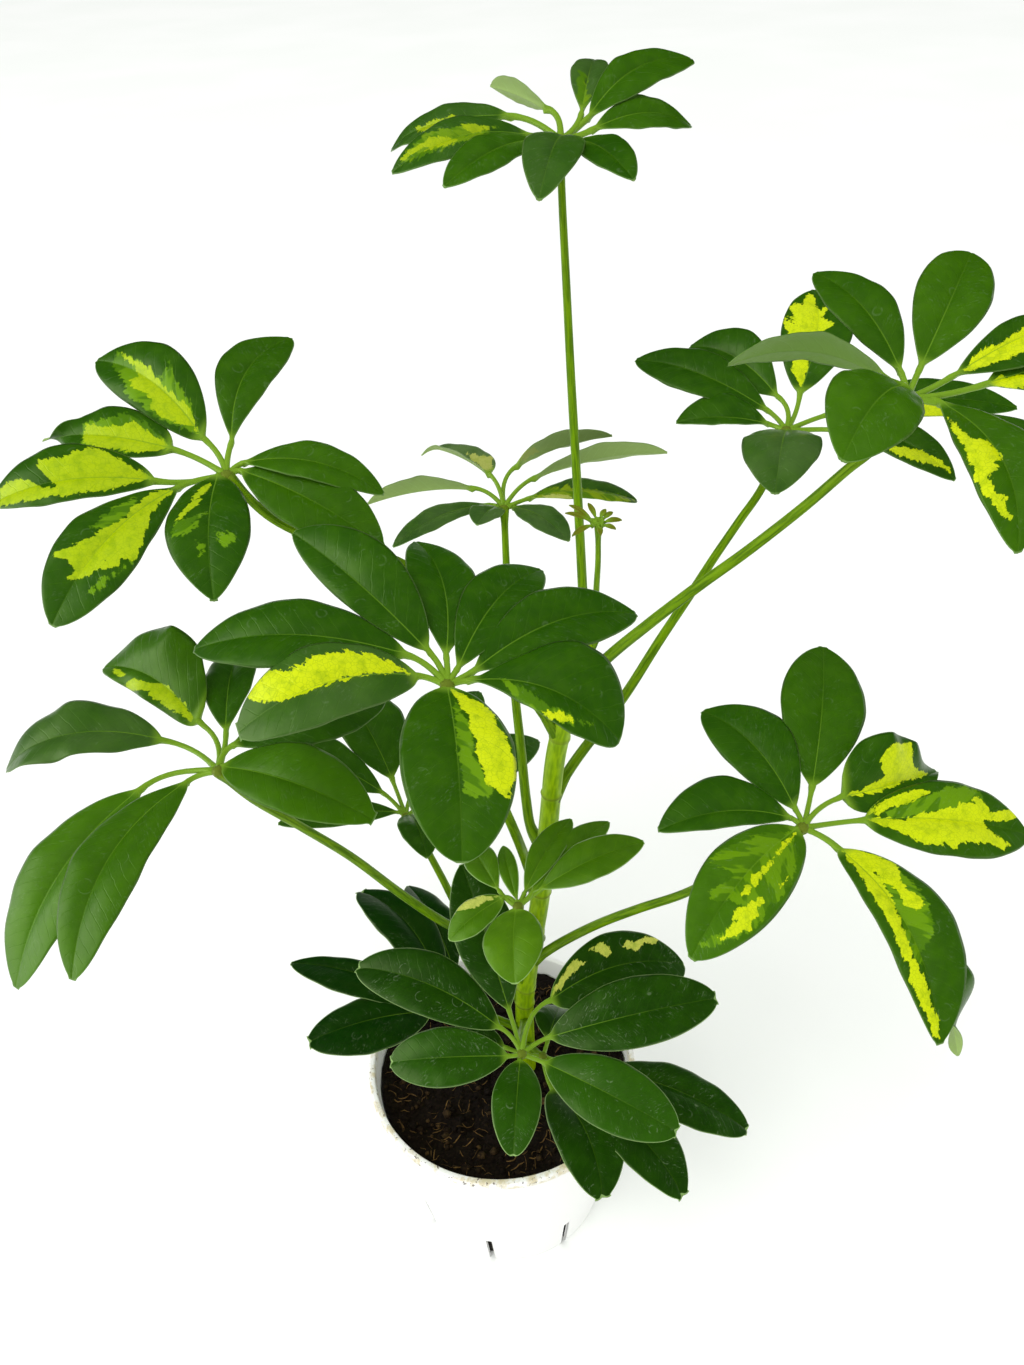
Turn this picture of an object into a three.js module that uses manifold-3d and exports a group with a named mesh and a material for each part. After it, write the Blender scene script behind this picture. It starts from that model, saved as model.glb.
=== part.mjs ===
// A potted dwarf umbrella plant: a white plastic nursery pot, its soil, one stem and fourteen compound
// leaves. Millimetres, +Z up. The origin is the centre of the pot's base, and -Y is the pot's front.
import * as THREE from 'three';
import { mergeVertices } from 'three/addons/utils/BufferGeometryUtils.js';
import Module from 'manifold-3d';

const wasm = await Module();
wasm.setup();

// ---------------------------------------------------------------- driving dimensions

const GAP = 0.3; // air between pieces that touch

const WELD = 0.01; // corners closer than this are one corner

// edge: the bevel of the lip's upper corner; foot: the bevel of the base; shoulder: the slope under the lip
const POT = {
  height: 99, rimRadius: 60, baseRadius: 44.7, wall: 1.4, lipHeight: 4, lipWidth: 1.2,
  edge: 0.5, foot: 1, shoulder: 0.6, facets: 40,
};

// depth: how far a slot cuts in from the wall; over: how far its cutter stands out beyond the pot
const SLOT = { count: 8, width: 2.6, height: 24, depth: 10, over: 1, firstAzimuth: -103 };

// mound: how far the middle rises; flank: the share of that rise at moundRadius, half of which is level
const SOIL = { top: 89, mound: 2, moundRadius: 34, flank: 0.4 };

// path: the stem's way up from the soil, by lines of sight in the plane through the pot's middle
const STEM = {
  footRadius: 4.2,
  tipRadius: 3.4,
  buried: 34,
  sides: 8,
  path: [
    [526, 1046], [525, 1000], [530, 960], [540, 900], [548, 830],
    [555, 760], [560, 735], [580, 660], [585, 636],
  ],
};

// the leaf stalk: a sheath round the stem that narrows to the stalk proper; sheathMost: the greatest
// share of a short stalk that is sheath
const STALK = {
  sheathRadius: 3.1, sheathLength: 10, sheathMost: 0.6, footRadius: 2.0, headRadius: 1.3, sides: 6, steps: 7,
};

const KNUCKLE = { radius: 2.6 }; // where the leaflets meet the stalk

// a leaflet's own stalk; bow: how far back its bend starts, per length
const STALKLET = { rootRadius: 0.9, endRadius: 0.8, steps: 1, bow: 0.45 };

// curlFrom: where a blade's tip starts to curl; ripples: waves of its margin; lag: between its two margins;
// tipPower, rootPower: how fast its width fades back from the tip and its thickness out from the foot
const BLADE = { thickness: 0.7, rows: 5, curlFrom: 0.75, ripples: 2.5, lag: 1.2, tipPower: 6, rootPower: 4 };

// a leaflet's shape where its own line of the table says nothing else
const SHAPE = {
  drop: 4, lift: 0, roll: 0, arch: 0.1, fold: 0.08, curl: 0, sweep: 0, wave: 0.018, blunt: 0.1, throat: 0.09,
  lean: 0, peak: 0.52, wedge: 0.75, round: 0.62,
};

// A pair [across, down] is a point of the photograph, in pixels. The line of sight through it starts at
// the eye, which stands before and above the pot.
const SIGHT = {
  eye: new THREE.Vector3(13.8, -301, 555), pitch: 38.6, roll: -3.1, focal: 1150, centre: [512, 682.5],
};

// ---------------------------------------------------------------- the leaves

// One leaflet: the two ends of its midrib, its greatest width and its own shape. Lengths are in mm.
//   drop   how far its tip lies under the leaf's plane     lift   how far its foot lies over that plane
//   roll   turn about the midrib, degrees                  arch   rise of the midrib, per length
//   fold   rise of the margins, per half width             curl   how far the tip turns down, per length
//   sweep  sideways bow of the midrib, per length          blunt  width left at the tip, per width
//   lean   how much wider its right half is than its left, seen from its foot
//   peak   where it is widest, per length                  wedge, round  how blunt it is before and after
const leaflet = (foot, tip, width, shape = {}) => ({ ...SHAPE, foot, tip, width, ...shape });

// One leaf: hub, the point where its leaflets meet, and behind, how far that lies behind the pot's
// middle. tilt and cant turn the plane of its leaflets to the front and to the right, in degrees.
// stalk: the way of its stalk up to the hub.
const LEAVES = {
  leaf_top: {
    hub: [560, 141], behind: 40, tilt: 25, cant: 0, slim: 0.8,
    stalk: [[585, 640], [583, 600], [580, 540], [575, 450], [571, 380], [566, 280], [562, 200]],
    leaflets: [
      leaflet([509, 116], [389, 146], 14, { drop: 14, arch: 0.08, curl: 0.04, wedge: 0.6 }),
      leaflet([530, 136], [392, 173], 15, { drop: 2, arch: 0.14, wedge: 0.6 }),
      leaflet([536, 140], [444, 187], 14, { drop: -4 }),
      leaflet([548, 109], [491, 86], 10, {
        drop: 5, roll: 75, arch: 0.0, fold: 0.2, sweep: -0.04, wave: 0.01,
      }),
      leaflet([582, 111], [595, 60], 11, { drop: 8 }),
      leaflet([589, 117], [691, 59], 16, { drop: 2, sweep: -0.07, lean: 0.15, round: 0.5 }),
      leaflet([594, 129], [691, 126], 15, { drop: 8, arch: 0.14 }),
      leaflet([573, 142], [634, 180], 13, { drop: -10 }),
      leaflet([566, 139], [539, 200], 16, { drop: -10, arch: 0.16 }),
    ],
  },
  leaf_young: {
    hub: [598, 523], behind: -8, tilt: 20, cant: 0, rows: 2, knuckle: 1.3, slim: 0.6,
    stalk: [[584, 661], [598, 634], [596, 600], [598, 560]],
    leaflets: [
      leaflet([592, 520], [569, 505], 1.8, { drop: 0 }),
      leaflet([591, 521], [565, 513], 1.8, { drop: 0 }),
      leaflet([592, 525], [572, 536], 2, { drop: 0 }),
      leaflet([596, 518], [588, 503], 1.8, { drop: -1 }),
      leaflet([600, 518], [606, 509], 1.8, { drop: -1 }),
      leaflet([603, 519], [613, 512], 1.8, { drop: 0 }),
      leaflet([604, 522], [622, 520], 2, { drop: 0 }),
      leaflet([603, 525], [616, 529], 1.8, { drop: 0 }),
      leaflet([599, 527], [601, 535], 1.8, { drop: -1 }),
    ],
  },
  leaf_upper_left: {
    hub: [227, 476], behind: -5, tilt: 28, cant: 5,
    stalk: [[558, 734], [520, 682], [480, 636], [440, 598], [400, 563], [335, 546], [272, 518]],
    leaflets: [
      leaflet([203, 438], [97, 361], 21, { drop: 2, roll: -15, sweep: 0.09, lean: 0.1, wedge: 0.5 }),
      leaflet([232, 441], [290, 338], 18, { drop: 2, sweep: -0.11, peak: 0.58, wedge: 0.7 }),
      leaflet([172, 449], [44, 440], 17, { drop: 8, lean: 0.2, peak: 0.42, wedge: 0.55, round: 1.2 }),
      leaflet([155, 481], [-10, 505], 19, { arch: 0.14, lean: 0.2, wedge: 0.5 }),
      leaflet([178, 488], [52, 626], 23, { drop: -4, sweep: 0.04, lean: -0.05, peak: 0.6, wedge: 0.6 }),
      leaflet([218, 476], [214, 601], 23, { drop: -4, sweep: 0.03, wedge: 0.6, round: 0.75 }),
      leaflet([244, 463], [384, 494], 15.5, { roll: -12, arch: 0.16 }),
      leaflet([241, 471], [383, 547], 21, { drop: 3 }),
    ],
  },
  leaf_centre: {
    hub: [447, 686], behind: -65, tilt: 20, cant: 12,
    stalk: [[535, 888], [522, 850], [505, 810], [480, 760], [455, 712]],
    leaflets: [
      leaflet([427, 650], [293, 533], 19, { drop: -4, roll: -25, sweep: 0.02, lean: 0.3, wedge: 0.6 }),
      leaflet([446, 655], [416, 542], 19, { drop: 8, sweep: 0.07 }),
      leaflet([458, 668], [541, 570], 18.5, { drop: 6, sweep: -0.06 }),
      leaflet([474, 671], [636, 614], 21, { drop: 2, sweep: -0.06 }),
      leaflet([469, 681], [620, 741], 27, {
        drop: -2, arch: 0.14, sweep: -0.07, lean: -0.3, peak: 0.62, round: 0.45,
      }),
      leaflet([447, 688], [462, 863], 29, { drop: -4, arch: 0.12, wedge: 0.5, round: 0.5 }),
      leaflet([417, 676], [238, 733], 23, {
        drop: 8, arch: 0.16, sweep: 0.04, blunt: 0.25, wedge: 0.5, round: 0.5,
      }),
      leaflet([407, 655], [194, 650], 22, { drop: 14, arch: 0.14, wedge: 0.6 }),
    ],
  },
  leaf_back: {
    hub: [504, 508], behind: 95, tilt: 0, cant: 0,
    stalk: [[543, 848], [531, 828], [526, 800], [521, 750], [516, 705], [510, 640], [506, 560]],
    leaflets: [
      leaflet([489, 474], [424, 446], 13.5, {
        drop: -8, lift: 9, roll: 25, arch: 0.05, fold: 0.5, curl: 0.1, lean: 0.35, peak: 0.35,
      }),
      leaflet([472, 488], [368, 504], 17, {
        drop: 0, lift: 5, roll: 46, arch: 0.05, fold: 0.4, wave: 0.02,
      }),
      leaflet([488, 505], [393, 547], 15, { drop: 6 }),
      leaflet([498, 507], [477, 525], 14, { drop: -2 }),
      leaflet([513, 507], [569, 541], 15, { drop: 2 }),
      leaflet([530, 498], [637, 501], 17, { drop: 2, lift: 3, round: 0.45 }),
      leaflet([534, 478], [667, 453], 16, {
        drop: -10, lift: 8, roll: -54, arch: 0.06, fold: 0.3, wave: 0.02,
      }),
      leaflet([517, 466], [612, 436], 16, {
        drop: -16, lift: 10, roll: -54, arch: 0.06, fold: 0.35, wave: 0.02, peak: 0.4,
      }),
    ],
  },
  leaf_behind_left: {
    hub: [406, 817], behind: 30, tilt: 20, cant: 15,
    stalk: [[524, 1004], [490, 950], [458, 908], [441, 876], [424, 845]],
    leaflets: [
      leaflet([392, 779], [342, 690], 28, { drop: -4, lean: 0.15 }),
      leaflet([383, 793], [262, 738], 20, { drop: -4 }),
      leaflet([398, 812], [278, 824], 12),
      leaflet([408, 815], [427, 858], 16, { drop: -16, arch: 0.14 }),
      leaflet([428, 800], [539, 741], 20, { drop: 6 }),
      leaflet([414, 790], [480, 692], 20, { drop: 6 }),
    ],
  },
  leaf_left: {
    hub: [218, 771], behind: -40, tilt: 12, cant: -8,
    stalk: [[530, 984], [485, 945], [437, 918], [400, 893], [350, 856], [300, 826], [250, 797]],
    leaflets: [
      leaflet([198, 722], [104, 668], 25, {
        drop: -4, roll: -20, sweep: 0.12, wave: 0.07, lean: 0.42, peak: 0.45, wedge: 0.45, round: 0.5,
      }),
      leaflet([162, 740], [3, 766], 22, {
        drop: -4, arch: 0.16, curl: 0.05, sweep: 0.03, wave: 0.05, lean: 0.1, wedge: 0.5,
      }),
      leaflet([140, 790], [16, 988], 26, { drop: 18, arch: 0.12, sweep: 0.03, wedge: 0.6 }),
      leaflet([186, 783], [72, 980], 24, { drop: 2, sweep: 0.08, lean: -0.1, wedge: 0.6 }),
      leaflet([226, 731], [243, 647], 18, { drop: 8 }),
      leaflet([233, 745], [385, 699], 24, { drop: 10, lean: 0.3 }),
      leaflet([222, 767], [374, 820], 24, { drop: 8, arch: 0.12, blunt: 0.2, lean: -0.1, wedge: 0.6 }),
    ],
  },
  leaf_right_back: {
    hub: [786, 431], behind: 60, tilt: 22, cant: -10,
    stalk: [[553, 798], [563, 780], [576, 760], [597, 732], [625, 695], [660, 640], [690, 595],
      [716, 555], [740, 520], [762, 488]],
    leaflets: [
      leaflet([767, 410], [636, 360], 20, { drop: 0 }),
      leaflet([777, 396], [690, 347], 21, { roll: -20, sweep: 0.08 }),
      leaflet([768, 424], [676, 423], 14, { drop: -2, lean: 0.5 }),
      leaflet([787, 431], [775, 494], 26, { drop: -12, arch: 0.16 }),
      leaflet([800, 393], [815, 290], 25, { drop: -4, sweep: 0.07, wedge: 0.6 }),
      leaflet([830, 414], [1017, 408], 17, { drop: 2 }),
      leaflet([835, 430], [955, 480], 15, { drop: -4, sweep: -0.06 }),
    ],
  },
  leaf_right_front: {
    hub: [907, 399], behind: -25, tilt: 30, cant: 0,
    stalk: [[574, 697], [602, 663], [650, 623], [700, 585], [746, 552], [805, 506], [848, 469], [874, 448]],
    leaflets: [
      leaflet([921, 366], [971, 253], 20, { drop: 2, round: 0.5 }),
      leaflet([900, 371], [815, 273], 17, { sweep: 0.03 }),
      leaflet([885, 378], [728, 365], 22, { drop: 2, roll: 72, arch: 0.14, wedge: 0.6 }),
      leaflet([904, 386], [842, 461], 24, { drop: -10, lift: 4, arch: 0.16, sweep: 0.06, wedge: 0.5 }),
      leaflet([956, 374], [1075, 320], 15, { drop: 2, lean: 0.2 }),
      leaflet([986, 384], [1110, 368], 18, { drop: 8 }),
      leaflet([940, 403], [1018, 553], 20, { drop: -4, sweep: -0.1 }),
      leaflet([970, 415], [1075, 520], 20, { drop: 6 }),
    ],
  },
  leaf_right_low: {
    hub: [803, 828], behind: -50, tilt: 18, cant: 5,
    stalk: [[531, 962], [560, 943], [600, 923], [640, 908], [685, 893], [745, 862]],
    leaflets: [
      leaflet([812, 787], [823, 647], 28, { drop: -6, wedge: 0.7 }),
      leaflet([795, 809], [703, 711], 23, { roll: -15, sweep: 0.07, lean: 0.1, wedge: 0.7 }),
      leaflet([790, 818], [658, 831], 18, { arch: 0.14, sweep: 0.04, lean: 0.35, wedge: 0.6 }),
      leaflet([797, 829], [691, 959], 26, { drop: 2, sweep: 0.05, lean: -0.1, wedge: 0.5 }),
      leaflet([840, 850], [939, 1045], 23, { drop: 0, sweep: -0.08, lean: -0.25, wedge: 0.45 }),
      leaflet([865, 820], [1028, 835], 27, { drop: 0, wedge: 0.5 }),
      leaflet([843, 797], [937, 772], 25, {
        drop: 6, roll: 25, fold: 0.3, wave: 0.06, lean: -0.35, peak: 0.35, wedge: 0.5,
      }),
      leaflet([838, 850], [962, 1055], 17, {
        drop: 14, curl: 0.03, sweep: -0.05, blunt: 0.08, lean: -0.35, peak: 0.78,
      }),
    ],
  },
  leaf_small: {
    hub: [518, 907], behind: -37, tilt: 15, cant: -10,
    stalk: [[538, 938], [527, 924]],
    leaflets: [
      leaflet([498, 889], [470, 845], 12, { drop: 6 }),
      leaflet([517, 900], [503, 846], 7),
      leaflet([525, 892], [571, 819], 12),
      leaflet([532, 893], [609, 822], 13, { drop: 8 }),
      leaflet([541, 889], [644, 842], 16, { drop: -2 }),
      leaflet([516, 909], [515, 984], 21, { drop: -2, arch: 0.12, wedge: 0.5 }),
      leaflet([503, 898], [449, 940], 13, { drop: 2, wedge: 0.5 }),
    ],
  },
  leaf_low_front: {
    hub: [522, 1054], behind: -50, tilt: 25, cant: 0,
    stalk: [[526, 1020], [520, 1042]],
    leaflets: [
      leaflet([499, 1027], [357, 967], 24, { drop: 0, sweep: 0.06, blunt: 0.2, wedge: 0.6, round: 0.5 }),
      leaflet([508, 1056], [390, 1062], 22, { blunt: 0.2, wedge: 0.6, round: 0.5 }),
      leaflet([520, 1060], [513, 1157], 18, { drop: -16, arch: 0.12, wedge: 0.6, round: 0.5 }),
      leaflet([545, 1063], [678, 1132], 25, { drop: -4, blunt: 0.2, wedge: 0.6, round: 0.5 }),
      leaflet([550, 1037], [717, 998], 26, { drop: -6, blunt: 0.2, lean: -0.05, wedge: 0.6, round: 0.5 }),
      leaflet([551, 1000], [684, 965], 28, { drop: 12, sweep: -0.09, lean: 0.05, wedge: 0.5, round: 0.5 }),
      leaflet([509, 1010], [462, 864], 24, { drop: -15 }),
    ],
  },
  leaf_low_right: {
    hub: [543, 1057], behind: -25, tilt: -5, cant: 5,
    stalk: [[526, 1044]],
    leaflets: [
      leaflet([600, 1070], [748, 1130], 26, { blunt: 0.2, lean: 0.15, wedge: 0.6, round: 0.45 }),
      leaflet([575, 1095], [684, 1197], 26, { drop: 6, sweep: -0.05, blunt: 0.25, wedge: 0.6, round: 0.5 }),
      leaflet([553, 1090], [603, 1199], 27, { drop: 2, sweep: -0.07, blunt: 0.25, wedge: 0.5, round: 0.5 }),
      leaflet([505, 1047], [446, 1035], 16),
      leaflet([548, 1040], [560, 1006], 18),
    ],
  },
  leaf_low_left: {
    hub: [465, 1008], behind: -10, tilt: 0, cant: 20,
    stalk: [[526, 1031], [495, 1018]],
    leaflets: [
      leaflet([430, 1012], [308, 1042], 25, { drop: 8, blunt: 0.25, lean: -0.2, wedge: 0.6, round: 0.5 }),
      leaflet([430, 1006], [291, 963], 19, { drop: 8, lean: -0.3 }),
      leaflet([440, 985], [361, 891], 26, {
        drop: 2, sweep: 0.06, blunt: 0.25, lean: -0.12, wedge: 0.5, round: 0.5,
      }),
      leaflet([455, 975], [408, 886], 20),
    ],
  },
};

// ---------------------------------------------------------------- lines of sight

const rad = THREE.MathUtils.degToRad;

/** The direction of the line of sight through one point of the photograph. */
function sightLine([across, down]) {
  const pitch = rad(SIGHT.pitch);
  const roll = rad(SIGHT.roll);
  const right = new THREE.Vector3(1, 0, 0);
  const below = new THREE.Vector3(0, -Math.sin(pitch), -Math.cos(pitch));
  const ahead = new THREE.Vector3(0, Math.cos(pitch), -Math.sin(pitch));
  const u = (across - SIGHT.centre[0]) / SIGHT.focal;
  const v = (down - SIGHT.centre[1]) / SIGHT.focal;
  return ahead
    .addScaledVector(right, Math.cos(roll) * u + Math.sin(roll) * v)
    .addScaledVector(below, -Math.sin(roll) * u + Math.cos(roll) * v);
}

/** Where the line of sight through a point meets the plane through `on`, square to `normal`. */
function sight(point, on, normal) {
  const line = sightLine(point);
  const along = on.clone().sub(SIGHT.eye).dot(normal) / line.dot(normal);
  return SIGHT.eye.clone().addScaledVector(line, along);
}

/** Where the line of sight through a point meets the upright plane at `behind`. */
function sightUpright(point, behind) {
  return sight(point, new THREE.Vector3(0, behind, 0), new THREE.Vector3(0, 1, 0));
}

// ---------------------------------------------------------------- solids

/** A closed solid through rings of points that run anticlockwise round its way.
 *  Columns named by `crossed` have their quads split the other way. */
function loft(rings, crossed = () => false) {
  const sides = rings[0].length;
  const faces = [];
  for (let i = 0; i + 1 < rings.length; i += 1) {
    for (let j = 0; j < sides; j += 1) {
      const a = i * sides + j;
      const b = i * sides + ((j + 1) % sides);
      const c = b + sides;
      const d = a + sides;
      if (crossed(j)) faces.push(a, b, d, b, c, d);
      else faces.push(a, b, c, a, c, d);
    }
  }
  const last = (rings.length - 1) * sides;
  for (let j = 1; j + 1 < sides; j += 1) {
    faces.push(0, j + 1, j);
    faces.push(last, last + j, last + j + 1);
  }
  return toSolid(rings.flat().flatMap((p) => p.toArray()), faces);
}

function toSolid(positions, faces) {
  const mesh = new wasm.Mesh({
    numProp: 3,
    vertProperties: new Float32Array(positions),
    triVerts: new Uint32Array(faces),
  });
  return new wasm.Manifold(mesh);
}

/** A three.js geometry as a solid. */
function solidOf(geometry) {
  const bare = geometry.clone();
  bare.deleteAttribute('normal');
  bare.deleteAttribute('uv');
  const merged = mergeVertices(bare, WELD);
  return toSolid(merged.attributes.position.array, merged.index.array);
}

/** The largest of a solid's separate bodies: scraps and bubbles that a cut or a join leaves are dropped. */
function largestBody(solid) {
  return solid.decompose().reduce((best, body) => (body.volume() > best.volume() ? body : best));
}

/** A solid with its near corners welded, and what that pinches off dropped. */
const welded = (solid) => largestBody(solidOf(geometryOf(solid)));

function geometryOf(solid) {
  const mesh = solid.getMesh();
  const geometry = new THREE.BufferGeometry();
  geometry.setAttribute('position', new THREE.BufferAttribute(new Float32Array(mesh.vertProperties), 3));
  geometry.setIndex(new THREE.BufferAttribute(new Uint32Array(mesh.triVerts), 1));
  geometry.computeVertexNormals();
  return geometry;
}

/** A tube along points, its radius at each point given by radiusAt(0..1). */
function tube(points, sides, radiusAt, swell = 0) {
  const rings = [];
  const side = new THREE.Vector3(1, 0, 0);
  points.forEach((point, i) => {
    const before = points[Math.max(i - 1, 0)];
    const after = points[Math.min(i + 1, points.length - 1)];
    const way = after.clone().sub(before).normalize();
    side.addScaledVector(way, -side.dot(way)).normalize();
    const over = way.clone().cross(side);
    const centre = point.clone();
    if (i === 0) centre.addScaledVector(way, -swell);
    if (i === points.length - 1) centre.addScaledVector(way, swell);
    const radius = radiusAt(i / (points.length - 1)) + swell;
    rings.push(
      Array.from({ length: sides }, (_, k) => {
        const turn = (k / sides) * 2 * Math.PI;
        return centre.clone()
          .addScaledVector(side, radius * Math.cos(turn))
          .addScaledVector(over, radius * Math.sin(turn));
      }),
    );
  });
  return loft(rings);
}

/** Evenly spaced points on the smooth curve through the given ones. */
function smooth(points, steps) {
  return new THREE.CatmullRomCurve3(points, false, 'centripetal').getSpacedPoints(steps);
}

// ---------------------------------------------------------------- pot and soil

/** The radius of the pot's outside at a height. */
const potRadius = (z) => POT.baseRadius + ((POT.rimRadius - POT.lipWidth - POT.baseRadius) * z) / POT.height;

const outline = (pairs) => pairs.map(([r, z]) => new THREE.Vector2(r, z));

function turned(pairs, facets) {
  return solidOf(new THREE.LatheGeometry(outline(pairs), facets).rotateX(Math.PI / 2));
}

/** A thin-walled tapered cup with a turned-out lip and drainage slots that climb from its bottom edge. */
function makePot() {
  const { height, rimRadius, baseRadius, wall, lipHeight, edge, foot, shoulder, facets } = POT;
  let pot = turned([
    [0, 0],
    [baseRadius - foot, 0],
    [baseRadius, foot],
    [potRadius(height - lipHeight), height - lipHeight],
    [rimRadius, height - lipHeight + shoulder],
    [rimRadius, height - edge],
    [rimRadius - edge, height],
    [potRadius(height) - wall + edge, height],
    [potRadius(height) - wall, height - edge],
    [potRadius(wall) - wall, wall],
    [0, wall],
  ], facets);
  for (let i = 0; i < SLOT.count; i += 1) {
    const slot = new THREE.BoxGeometry(SLOT.depth, SLOT.width, SLOT.height + SLOT.over)
      .translate(potRadius(SLOT.height) + SLOT.over - SLOT.depth / 2, 0, (SLOT.height - SLOT.over) / 2)
      .rotateZ(rad(SLOT.firstAzimuth + (360 / SLOT.count) * i));
    pot = pot.subtract(solidOf(slot));
  }
  return pot;
}

/** The soil: it ends under the rim, a little higher in the middle, with a hole that the stem stands in. */
function makeSoil() {
  const inside = (z) => potRadius(z) - POT.wall - GAP;
  const floor = POT.wall + GAP;
  return turned([
    [0, floor],
    [inside(floor), floor],
    [inside(SOIL.top), SOIL.top],
    [SOIL.moundRadius, SOIL.top + SOIL.mound * SOIL.flank],
    [SOIL.moundRadius / 2, SOIL.top + SOIL.mound],
    [0, SOIL.top + SOIL.mound],
  ], POT.facets).subtract(makeStem(GAP));
}

// ---------------------------------------------------------------- stem

/** One upright stem with its foot in the soil. `swell` makes it thicker all round. */
function makeStem(swell = 0) {
  const above = STEM.path.map((point) => sightUpright(point, 0));
  const foot = new THREE.Vector3(above[0].x, 0, SOIL.top - STEM.buried);
  const radiusAt = (t) => STEM.footRadius + (STEM.tipRadius - STEM.footRadius) * t;
  return tube([foot, ...above], STEM.sides, radiusAt, swell);
}

// ---------------------------------------------------------------- leaves

/** The plane that a leaf's leaflets spread in: its normal. */
function leafNormal({ tilt, cant }) {
  const a = rad(tilt);
  const c = rad(cant);
  return new THREE.Vector3(Math.sin(c), -Math.sin(a) * Math.cos(c), Math.cos(a) * Math.cos(c));
}

/** Half the blade's width at t along it, for a whole width of 1: widest at its peak. */
function halfWidth(t, { peak, wedge, round, blunt, throat }) {
  const swell = Math.sin(Math.PI * t ** (Math.log(0.5) / Math.log(peak)));
  const body = Math.max(0, swell) ** (t < peak ? wedge : round);
  return 0.5 * Math.max(body, throat * (1 - t), blunt * t ** BLADE.tipPower);
}

/** The frame of one leaflet: its foot, the way to its tip, its side and its face. */
function leafletFrame(piece, hub, normal) {
  const foot = sight(piece.foot, hub.clone().addScaledVector(normal, piece.lift), normal);
  const tip = sight(piece.tip, hub.clone().addScaledVector(normal, -piece.drop), normal);
  const way = tip.clone().sub(foot);
  const length = way.length();
  way.normalize();
  const side = way.clone().cross(normal).normalize().applyAxisAngle(way, rad(piece.roll));
  return { foot, length, way, side, face: side.clone().cross(way) };
}

/** A point of the blade's middle surface: t along the midrib, c across from -1 to 1. */
function bladePoint(piece, { foot, length, way, side, face }, t, c) {
  const half = halfWidth(t, piece) * piece.width * (1 + piece.lean * Math.sign(c));
  const bend = (Math.max(0, t - BLADE.curlFrom) / (1 - BLADE.curlFrom)) ** 2;
  const ripple = Math.sin(2 * Math.PI * BLADE.ripples * t + (c < 0 ? BLADE.lag : 0)) * Math.sin(Math.PI * t);
  const rise = length * (4 * piece.arch * t * (1 - t) - piece.curl * bend)
    + Math.abs(c) * piece.fold * half + c * c * piece.wave * piece.width * ripple;
  return foot.clone()
    .addScaledVector(way, length * t)
    .addScaledVector(side, c * half + 4 * piece.sweep * length * t * (1 - t))
    .addScaledVector(face, rise);
}

/** One leaflet from the hub to its tip in one solid: a thin stalk that flattens into a waved blade. */
function makeLeaflet(piece, hub, normal, rows) {
  const frame = leafletFrame(piece, hub, normal);
  const rings = [];
  const start = frame.way.clone().addScaledVector(frame.face, 4 * piece.arch).normalize();
  const elbow = frame.foot.clone().addScaledVector(start, -STALKLET.bow * hub.distanceTo(frame.foot));
  const stalk = new THREE.QuadraticBezierCurve3(hub, elbow, frame.foot);
  for (let i = 0; i < STALKLET.steps; i += 1) {
    const s = i / STALKLET.steps;
    const radius = STALKLET.rootRadius + (STALKLET.endRadius - STALKLET.rootRadius) * s;
    const way = stalk.getTangent(s);
    const side = frame.side.clone().addScaledVector(way, -frame.side.dot(way)).normalize();
    const face = side.clone().cross(way);
    const at = stalk.getPoint(s);
    // six points: along the upper face from left to right, then back along the lower face
    rings.push([150, 90, 30, -30, -90, -150].map((turn) => at.clone()
      .addScaledVector(side, radius * Math.cos(rad(turn)))
      .addScaledVector(face, radius * Math.sin(rad(turn)))));
  }
  for (let i = 0; i <= rows; i += 1) {
    const t = i / rows;
    const thick = STALKLET.endRadius * (1 - t) ** BLADE.rootPower + BLADE.thickness / 2;
    const upper = [-1, 0, 1].map((c) => bladePoint(piece, frame, t, c).addScaledVector(frame.face, thick));
    const lower = [1, 0, -1].map((c) => bladePoint(piece, frame, t, c).addScaledVector(frame.face, -thick));
    rings.push([...upper, ...lower]);
  }
  return loft(rings, (column) => column === 3 || column === 4);
}

/** The leaf's stalk: from its sheath on the stem to the hub. */
function makeStalk(leaf, hub) {
  const marks = [...leaf.stalk, leaf.hub];
  const gone = [0];
  for (let i = 1; i < marks.length; i += 1) {
    gone.push(gone[i - 1] + Math.hypot(marks[i][0] - marks[i - 1][0], marks[i][1] - marks[i - 1][1]));
  }
  // the stalk moves away from the pot's middle evenly along its way
  const points = leaf.stalk.map((point, i) => sightUpright(point, (leaf.behind * gone[i]) / gone.at(-1)));
  const way = smooth([...points, hub], STALK.steps);
  const length = points.reduce((sum, p, i) => sum + p.distanceTo(points[i + 1] ?? hub), 0);
  const { sheathRadius, sheathLength, sheathMost, footRadius, headRadius } = STALK;
  const slim = leaf.slim ?? 1;
  const sheathShare = Math.min(sheathLength / length, sheathMost);
  const radiusAt = (t) => slim * (headRadius + (footRadius - headRadius) * (1 - t)
    + (sheathRadius - footRadius) * Math.max(0, 1 - t / sheathShare));
  return tube(way, STALK.sides, radiusAt);
}

function makeLeaf(leaf, stemClear) {
  const hub = sightUpright(leaf.hub, leaf.behind);
  const normal = leafNormal(leaf);
  let solid = makeStalk(leaf, hub).add(
    solidOf(new THREE.IcosahedronGeometry(leaf.knuckle ?? KNUCKLE.radius, 0).translate(hub.x, hub.y, hub.z)),
  );
  for (const piece of leaf.leaflets) {
    solid = solid.add(makeLeaflet(piece, hub, normal, leaf.rows ?? BLADE.rows));
  }
  return welded(welded(solid.subtract(stemClear)));
}

// ---------------------------------------------------------------- the plant

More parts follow.
